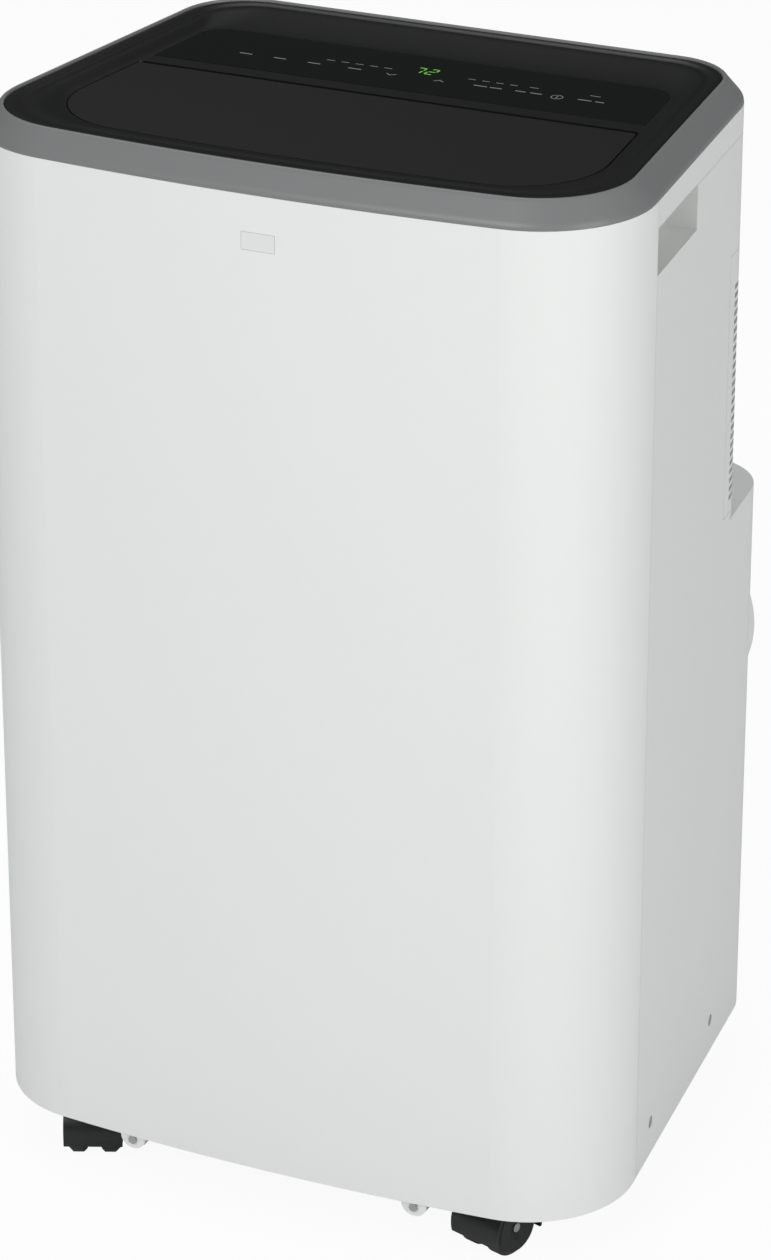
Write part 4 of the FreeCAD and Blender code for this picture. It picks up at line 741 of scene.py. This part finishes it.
@dataclass
class TopDeck:
    """What shows from above: the grey trim ring and the black cover with its dished middle.

    Attributes:
        plan: the casing's plan.
        top: height of the trim ring's top.
        trim: section of the trim ring, as (inset, height below the top).
    """

    plan: CasingPlan
    top: float = field(default_factory=lambda: CAD_BOX[1][2] / MM)
    trim: tuple[Point, ...] = (
        (0.0, 16.0), (0.15, 14.6), (0.7, 13.0), (2.0, 11.2), (9.9, 1.9), (10.7, 0.8), (11.6, 0.15),
        (12.4, 0.0), (13.3, 0.1), (13.5, 0.5), (13.5, 16.0),
    )
    rim: tuple[Inset, ...] = (
        Inset(13.8, 13.8, 13.8, 58.2, 42.2, 15.0),
        Inset(13.8, 13.8, 13.8, 58.2, 42.2, 1.9),
        Inset(14.1, 14.1, 14.0, 57.9, 42.0, 1.3),
        Inset(14.8, 14.8, 14.6, 57.4, 41.4, 1.1),
        Inset(19.5, 18.0, 16.5, 56.0, 40.5, 1.2),
        Inset(21.5, 19.8, 18.0, 56.0, 39.5, 1.7),
        Inset(23.5, 21.5, 19.5, 56.5, 38.5, 2.4),
        Inset(26.5, 23.5, 21.0, 57.0, 37.5, 2.5),
        Inset(29.0, 25.3, 22.8, 57.5, 36.5, 2.2),
        Inset(31.5, 27.0, 24.5, 58.0, 35.5, 2.3),
        Inset(34.5, 29.0, 28.5, 58.0, 33.5, 2.9),
        Inset(40.0, 33.5, 44.0, 58.0, 27.0, 4.7),
        Inset(43.0, 36.5, 56.0, 58.0, 21.0, 5.8),
        Inset(44.2, 37.7, 60.6, 58.0, 16.5, 6.0),
    )
    door_rear: float = 177.5

    def build(self) -> None:
        """Make the pieces in order from the outside in."""
        self.make_trim()
        self.make_cover()

    def make_trim(self) -> None:
        """Trim ring with a soft lower edge, a long slope and a thin rolled lip."""
        loops = [self.plan.even(inset, self.top - drop) for inset, drop in self.trim]
        ring = new_object("trim_ring_moulded", *closed_band(loops), TRIM_ABS, "casing", "grey_abs", 30)
        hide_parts("top_trim_ring")

    def make_cover(self) -> None:
        """Black cover: flat rim, shallow groove, rounded shoulder, and a dished floor that opens
        for the louver door."""
        loops = [self.plan.outline(self.lowered(step)) for step in self.rim]
        door_inset = self.plan.depth - self.door_rear
        for front, side, drop in ((44.6, 38.1, 6.0), (45.0, 38.5, 6.4), (45.0, 38.5, 9.4)):
            opening = Inset(front, side, door_inset, 58.0, 3.0, self.top - drop)
            loops.append(self.plan.outline(opening))
        for front, side, rear, drop in ((44.6, 38.1, 60.0, 9.5), (22.0, 22.0, 22.0, 9.5)):
            loops.append(self.plan.outline(Inset(front, side, rear, 50.0, 16.0, self.top - drop)))
        loops.append(self.plan.outline(Inset(22.0, 22.0, 22.0, 50.0, 16.0, self.top - 15.0)))
        cover = new_object("black_cover_moulded", *closed_band(loops), COVER_ABS, "casing", "black_abs", 50)
        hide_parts("top_cover")

    def lowered(self, step: Inset) -> Inset:
        """The same inset with its level counted down from the top."""
        return Inset(
            step.front, step.side, step.rear, step.front_corner, step.rear_corner, self.top - step.level
        )


@dataclass
class PanelMarks:
    """Marks on the touch panel: two lit digits, two arrows, a power ring and plain bars.

    Attributes:
        plan: the casing's plan, for the place of the front face.
        level: height of the panel's upper face.
    """

    plan: CasingPlan
    level: float = field(default_factory=lambda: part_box("control_fascia")[1].z / MM)
    ink: float = 0.06
    digit_height: float = 11.0
    digit_width: float = 6.2
    stroke: float = 0.9

    def build(self) -> None:
        """Make all the marks."""
        self.make_digits("72", -5.6, 232.5)
        marks: list[list[Point]] = []
        for x, behind, length in (
            (-116, 218, 9), (-92, 218, 8.5), (-68, 218, 8.5), (-40, 218.5, 9), (46, 219.5, 9),
            (56.5, 219.5, 8), (73, 220, 7), (83.5, 220, 8), (116, 220.5, 9), (126, 220.5, 6),
        ):
            marks.append(self.bar(x, behind, length, 1.1))
        for x in (-61, -51, -41, -31, -21):
            marks.append(self.bar(x, 228, 5.5, 0.7))
        for x in (36, 45.5, 55, 64.5):
            marks.append(self.bar(x, 229.5, 5, 0.7))
        marks.append(self.bar(78, 230, 6, 0.7))
        marks.append(self.bar(119, 230.5, 7, 0.7))
        self.make_prints("key_bars", marks)
        self.make_prints("key_arrows", [self.arrow(-14.5, 217, Way.DOWN), self.arrow(18.5, 218.5, Way.UP)])
        self.make_power(98, 219)

    def bar(self, x: float, behind: float, length: float, thick: float) -> list[Point]:
        """Outline of a plain bar centred on x, at a distance behind the front face."""
        half, up = length / 2, thick / 2
        return [(x - half, behind - up), (x + half, behind - up), (x + half, behind + up), (x - half, behind + up)]

    def arrow(self, x: float, behind: float, way: Way) -> list[Point]:
        """Outline of an open arrow head."""
        wide, tall, thick = 3.4, 2.6, 0.75
        shape = [(-wide, -tall / 2), (0, tall / 2), (wide, -tall / 2), (wide, -tall / 2 - thick),
                 (0, tall / 2 - thick * 1.3), (-wide, -tall / 2 - thick)]
        shape = [(x + across, behind + way.value * up) for across, up in shape]
        return shape[::-1] if way is Way.UP else shape

    def make_prints(self, name: str, shapes: Sequence[Sequence[Point]]) -> None:
        """Raise each outline by the thickness of the ink, as one piece."""
        points: list[Spot] = []
        faces: list[tuple[int, ...]] = []
        for shape in shapes:
            loops = [
                [(x * MM, (self.plan.front_y + behind) * MM, level * MM) for x, behind in shape]
                for level in (self.level - self.ink, self.level + self.ink)
            ]
            more, sides = capped_stack(loops)
            faces += [tuple(number + len(points) for number in side) for side in sides]
            points += more
        new_object(name, points, faces, PRINT_INK, "casing", "gloss_black_acrylic")

    def make_power(self, x: float, behind: float) -> None:
        """Ring with an upright bar in its middle, the usual power mark."""
        outer, inner, count = 4.0, 3.4, 40
        loops = []
        for radius, lift in ((outer, -1), (outer, 1), (inner, 1), (inner, -1)):
            loop = []
            for step in range(count):
                angle = 2 * math.pi * step / count
                loop.append(
                    (
                        (x + radius * math.cos(angle)) * MM,
                        (self.plan.front_y + behind + radius * math.sin(angle)) * MM,
                        (self.level + lift * self.ink) * MM,
                    )
                )
            loops.append(loop)
        new_object("power_ring", *closed_band(loops), PRINT_INK, "casing", "gloss_black_acrylic")
        upright = [(x - 0.35, behind - 1.8), (x + 0.35, behind - 1.8), (x + 0.35, behind + 1.8), (x - 0.35, behind + 1.8)]
        self.make_prints("power_bar", [upright])

    def make_digits(self, digits: str, x: float, behind: float) -> None:
        """Seven-segment digits, leaning a little to the right."""
        lit = {"7": "abc", "2": "abdeg"}
        width, height, thick = self.digit_width, self.digit_height, self.stroke
        shapes = []
        for number, digit in enumerate(digits):
            left = x + number * (width + 2.6)
            for segment in lit[digit]:
                shapes.append(self.segment(segment, left, behind - height / 2, width, height, thick))
        points: list[Spot] = []
        faces: list[tuple[int, ...]] = []
        for shape in shapes:
            loops = [
                [(px * MM, (self.plan.front_y + py) * MM, (self.level + lift) * MM) for px, py in shape]
                for lift in (-self.ink, self.ink)
            ]
            more, sides = capped_stack(loops)
            faces += [tuple(n + len(points) for n in side) for side in sides]
            points += more
        new_object("display_digits", points, faces, GREEN_LIGHT, "casing", "gloss_black_acrylic")

    def segment(
        self, kind: str, left: float, foot: float, width: float, height: float, thick: float
    ) -> list[Point]:
        """Outline of one segment, from a at the top, clockwise to f, with g in the middle."""
        half, gap = thick / 2, 0.25
        middle = height / 2
        rows = {"a": height - half, "g": middle, "d": half}
        columns = {"b": (width - half, middle), "c": (width - half, 0), "e": (half, 0), "f": (half, middle)}
        if kind in rows:
            y = rows[kind]
            shape = [(half + gap, y), (thick + gap, y - half), (width - thick - gap, y - half),
                     (width - half - gap, y), (width - thick - gap, y + half), (thick + gap, y + half)]
        else:
            x, low = columns[kind]
            start, end = low + half + gap, low + middle - half - gap
            shape = [(x, start), (x + half, start + half), (x + half, end - half), (x, end),
                     (x - half, end - half), (x - half, start + half)]
        slant = math.tan(math.radians(8))
        return [(left + px + slant * py, foot + py) for px, py in shape]


# ---------------------------------------------------------------- studio
@dataclass
class Studio:
    """Plain pale floor, soft lamps, white surroundings and the camera.

    Attributes:
        azimuth: camera's turn to the right of the front, in degrees.
        elevation: camera's height above the horizon, in degrees.
        distance: camera to the point that it looks at.
        target: the point that it looks at.
        lens: focal length for a 36 mm tall sensor, in millimetres.
    """

    azimuth: float = 25.03
    elevation: float = 24.17
    distance: float = 3.1313
    target: Spot = (0.0062, -0.0521, 0.3528)
    lens: float = 138.5

    def build(self) -> None:
        """Set up everything that isn't the object."""
        self.make_floor()
        self.make_world()
        self.make_lamps()
        self.make_camera()
        bpy.context.scene.view_settings.view_transform = "Standard"

    def seen_white(self, tree: bpy.types.NodeTree) -> bpy.types.NodeSocket:
        """Return 1 for rays that show the surroundings as they are, and 0 for rays that light."""
        path = add_node(tree, "ShaderNodeLightPath")
        direct = add_node(
            tree,
            "ShaderNodeMath",
            {0: path.outputs["Is Camera Ray"], 1: path.outputs["Is Transmission Ray"]},
            operation="MAXIMUM",
        )
        return direct.outputs[0]

    def make_floor(self) -> None:
        """Round pale floor that keeps the object's shadow."""
        bpy.ops.mesh.primitive_circle_add(vertices=96, radius=14, fill_type="NGON")
        floor = bpy.context.object
        floor.name = "floor"
        material = bpy.data.materials.new("pale_floor")
        material.use_nodes = True
        tree = material.node_tree
        tree.nodes.clear()
        matt = add_node(tree, "ShaderNodeBsdfDiffuse", {"Color": linear("#EDEDED")})
        glow = add_node(tree, "ShaderNodeEmission", {"Color": linear("#FFFFFF"), "Strength": 1.0})
        share = add_node(
            tree, "ShaderNodeMath", {0: self.seen_white(tree), 1: 0.94}, operation="MULTIPLY"
        )
        mix = add_node(
            tree,
            "ShaderNodeMixShader",
            {0: share.outputs[0], 1: matt.outputs[0], 2: glow.outputs[0]},
        )
        add_node(tree, "ShaderNodeOutputMaterial", {"Surface": mix.outputs[0]})
        floor.data.materials.append(material)

    def make_world(self) -> None:
        """White where it is seen, a soft grey where it lights, and dark where gloss mirrors it."""
        world = bpy.data.worlds.new("studio")
        bpy.context.scene.world = world
        world.use_nodes = True
        tree = world.node_tree
        tree.nodes.clear()
        path = add_node(tree, "ShaderNodeLightPath")
        dimmed = add_node(
            tree,
            "ShaderNodeMapRange",
            {"Value": path.outputs["Is Glossy Ray"], "To Min": 0.42, "To Max": 0.05},
        )
        soft = add_node(
            tree,
            "ShaderNodeBackground",
            {"Color": linear("#F4F6F8"), "Strength": dimmed.outputs["Result"]},
        )
        white = add_node(tree, "ShaderNodeBackground", {"Color": linear("#FFFFFF"), "Strength": 1.0})
        mix = add_node(
            tree,
            "ShaderNodeMixShader",
            {0: self.seen_white(tree), 1: soft.outputs[0], 2: white.outputs[0]},
        )
        add_node(tree, "ShaderNodeOutputWorld", {"Surface": mix.outputs[0]})

    def make_lamps(self) -> None:
        """Three large soft boxes: front, right and overhead."""
        self.soft_box("key", (-0.2, -3.0, 2.5), 1.6, 48)
        self.soft_box("fill", (2.8, -1.0, 1.4), 1.6, 27)
        self.soft_box("overhead", (-0.9, 0.9, 3.0), 1.6, 14)

    def soft_box(self, name: str, place: Spot, size: float, power: float) -> None:
        """Square area lamp aimed at the middle of the unit.

        Args:
            name: name of the lamp.
            place: where it stands.
            size: its edge.
            power: its power in watts.
        """
        data = bpy.data.lights.new(name, "AREA")
        data.shape = "SQUARE"
        data.size = size
        data.energy = power
        lamp = bpy.data.objects.new(name, data)
        lamp.location = place
        aim = Vector(self.target) - Vector(place)
        lamp.rotation_euler = aim.to_track_quat("-Z", "Y").to_euler()
        bpy.context.scene.collection.objects.link(lamp)

    def make_camera(self) -> None:
        """Camera at the fitted viewing angle."""
        turn, rise = math.radians(self.azimuth), math.radians(self.elevation)
        back = Vector(
            (math.sin(turn) * math.cos(rise), -math.cos(turn) * math.cos(rise), math.sin(rise))
        )
        data = bpy.data.cameras.new("camera")
        data.sensor_fit = "VERTICAL"
        data.sensor_height = 36
        data.lens = self.lens
        data.clip_end = 60
        camera = bpy.data.objects.new("camera", data)
        camera.location = Vector(self.target) + back * self.distance
        camera.rotation_euler = back.to_track_quat("Z", "Y").to_euler()
        bpy.context.scene.collection.objects.link(camera)
        bpy.context.scene.camera = camera


# ---------------------------------------------------------------- assembly
def main() -> None:
    """Build the looks in order."""
    logging.basicConfig(level=logging.INFO, format="%(message)s")
    plan = CasingPlan()
    CarriedOverParts().build()
    TopDeck(plan).build()
    PanelMarks(plan).build()
    Studio().build()


if __name__ == "__main__":
    main()
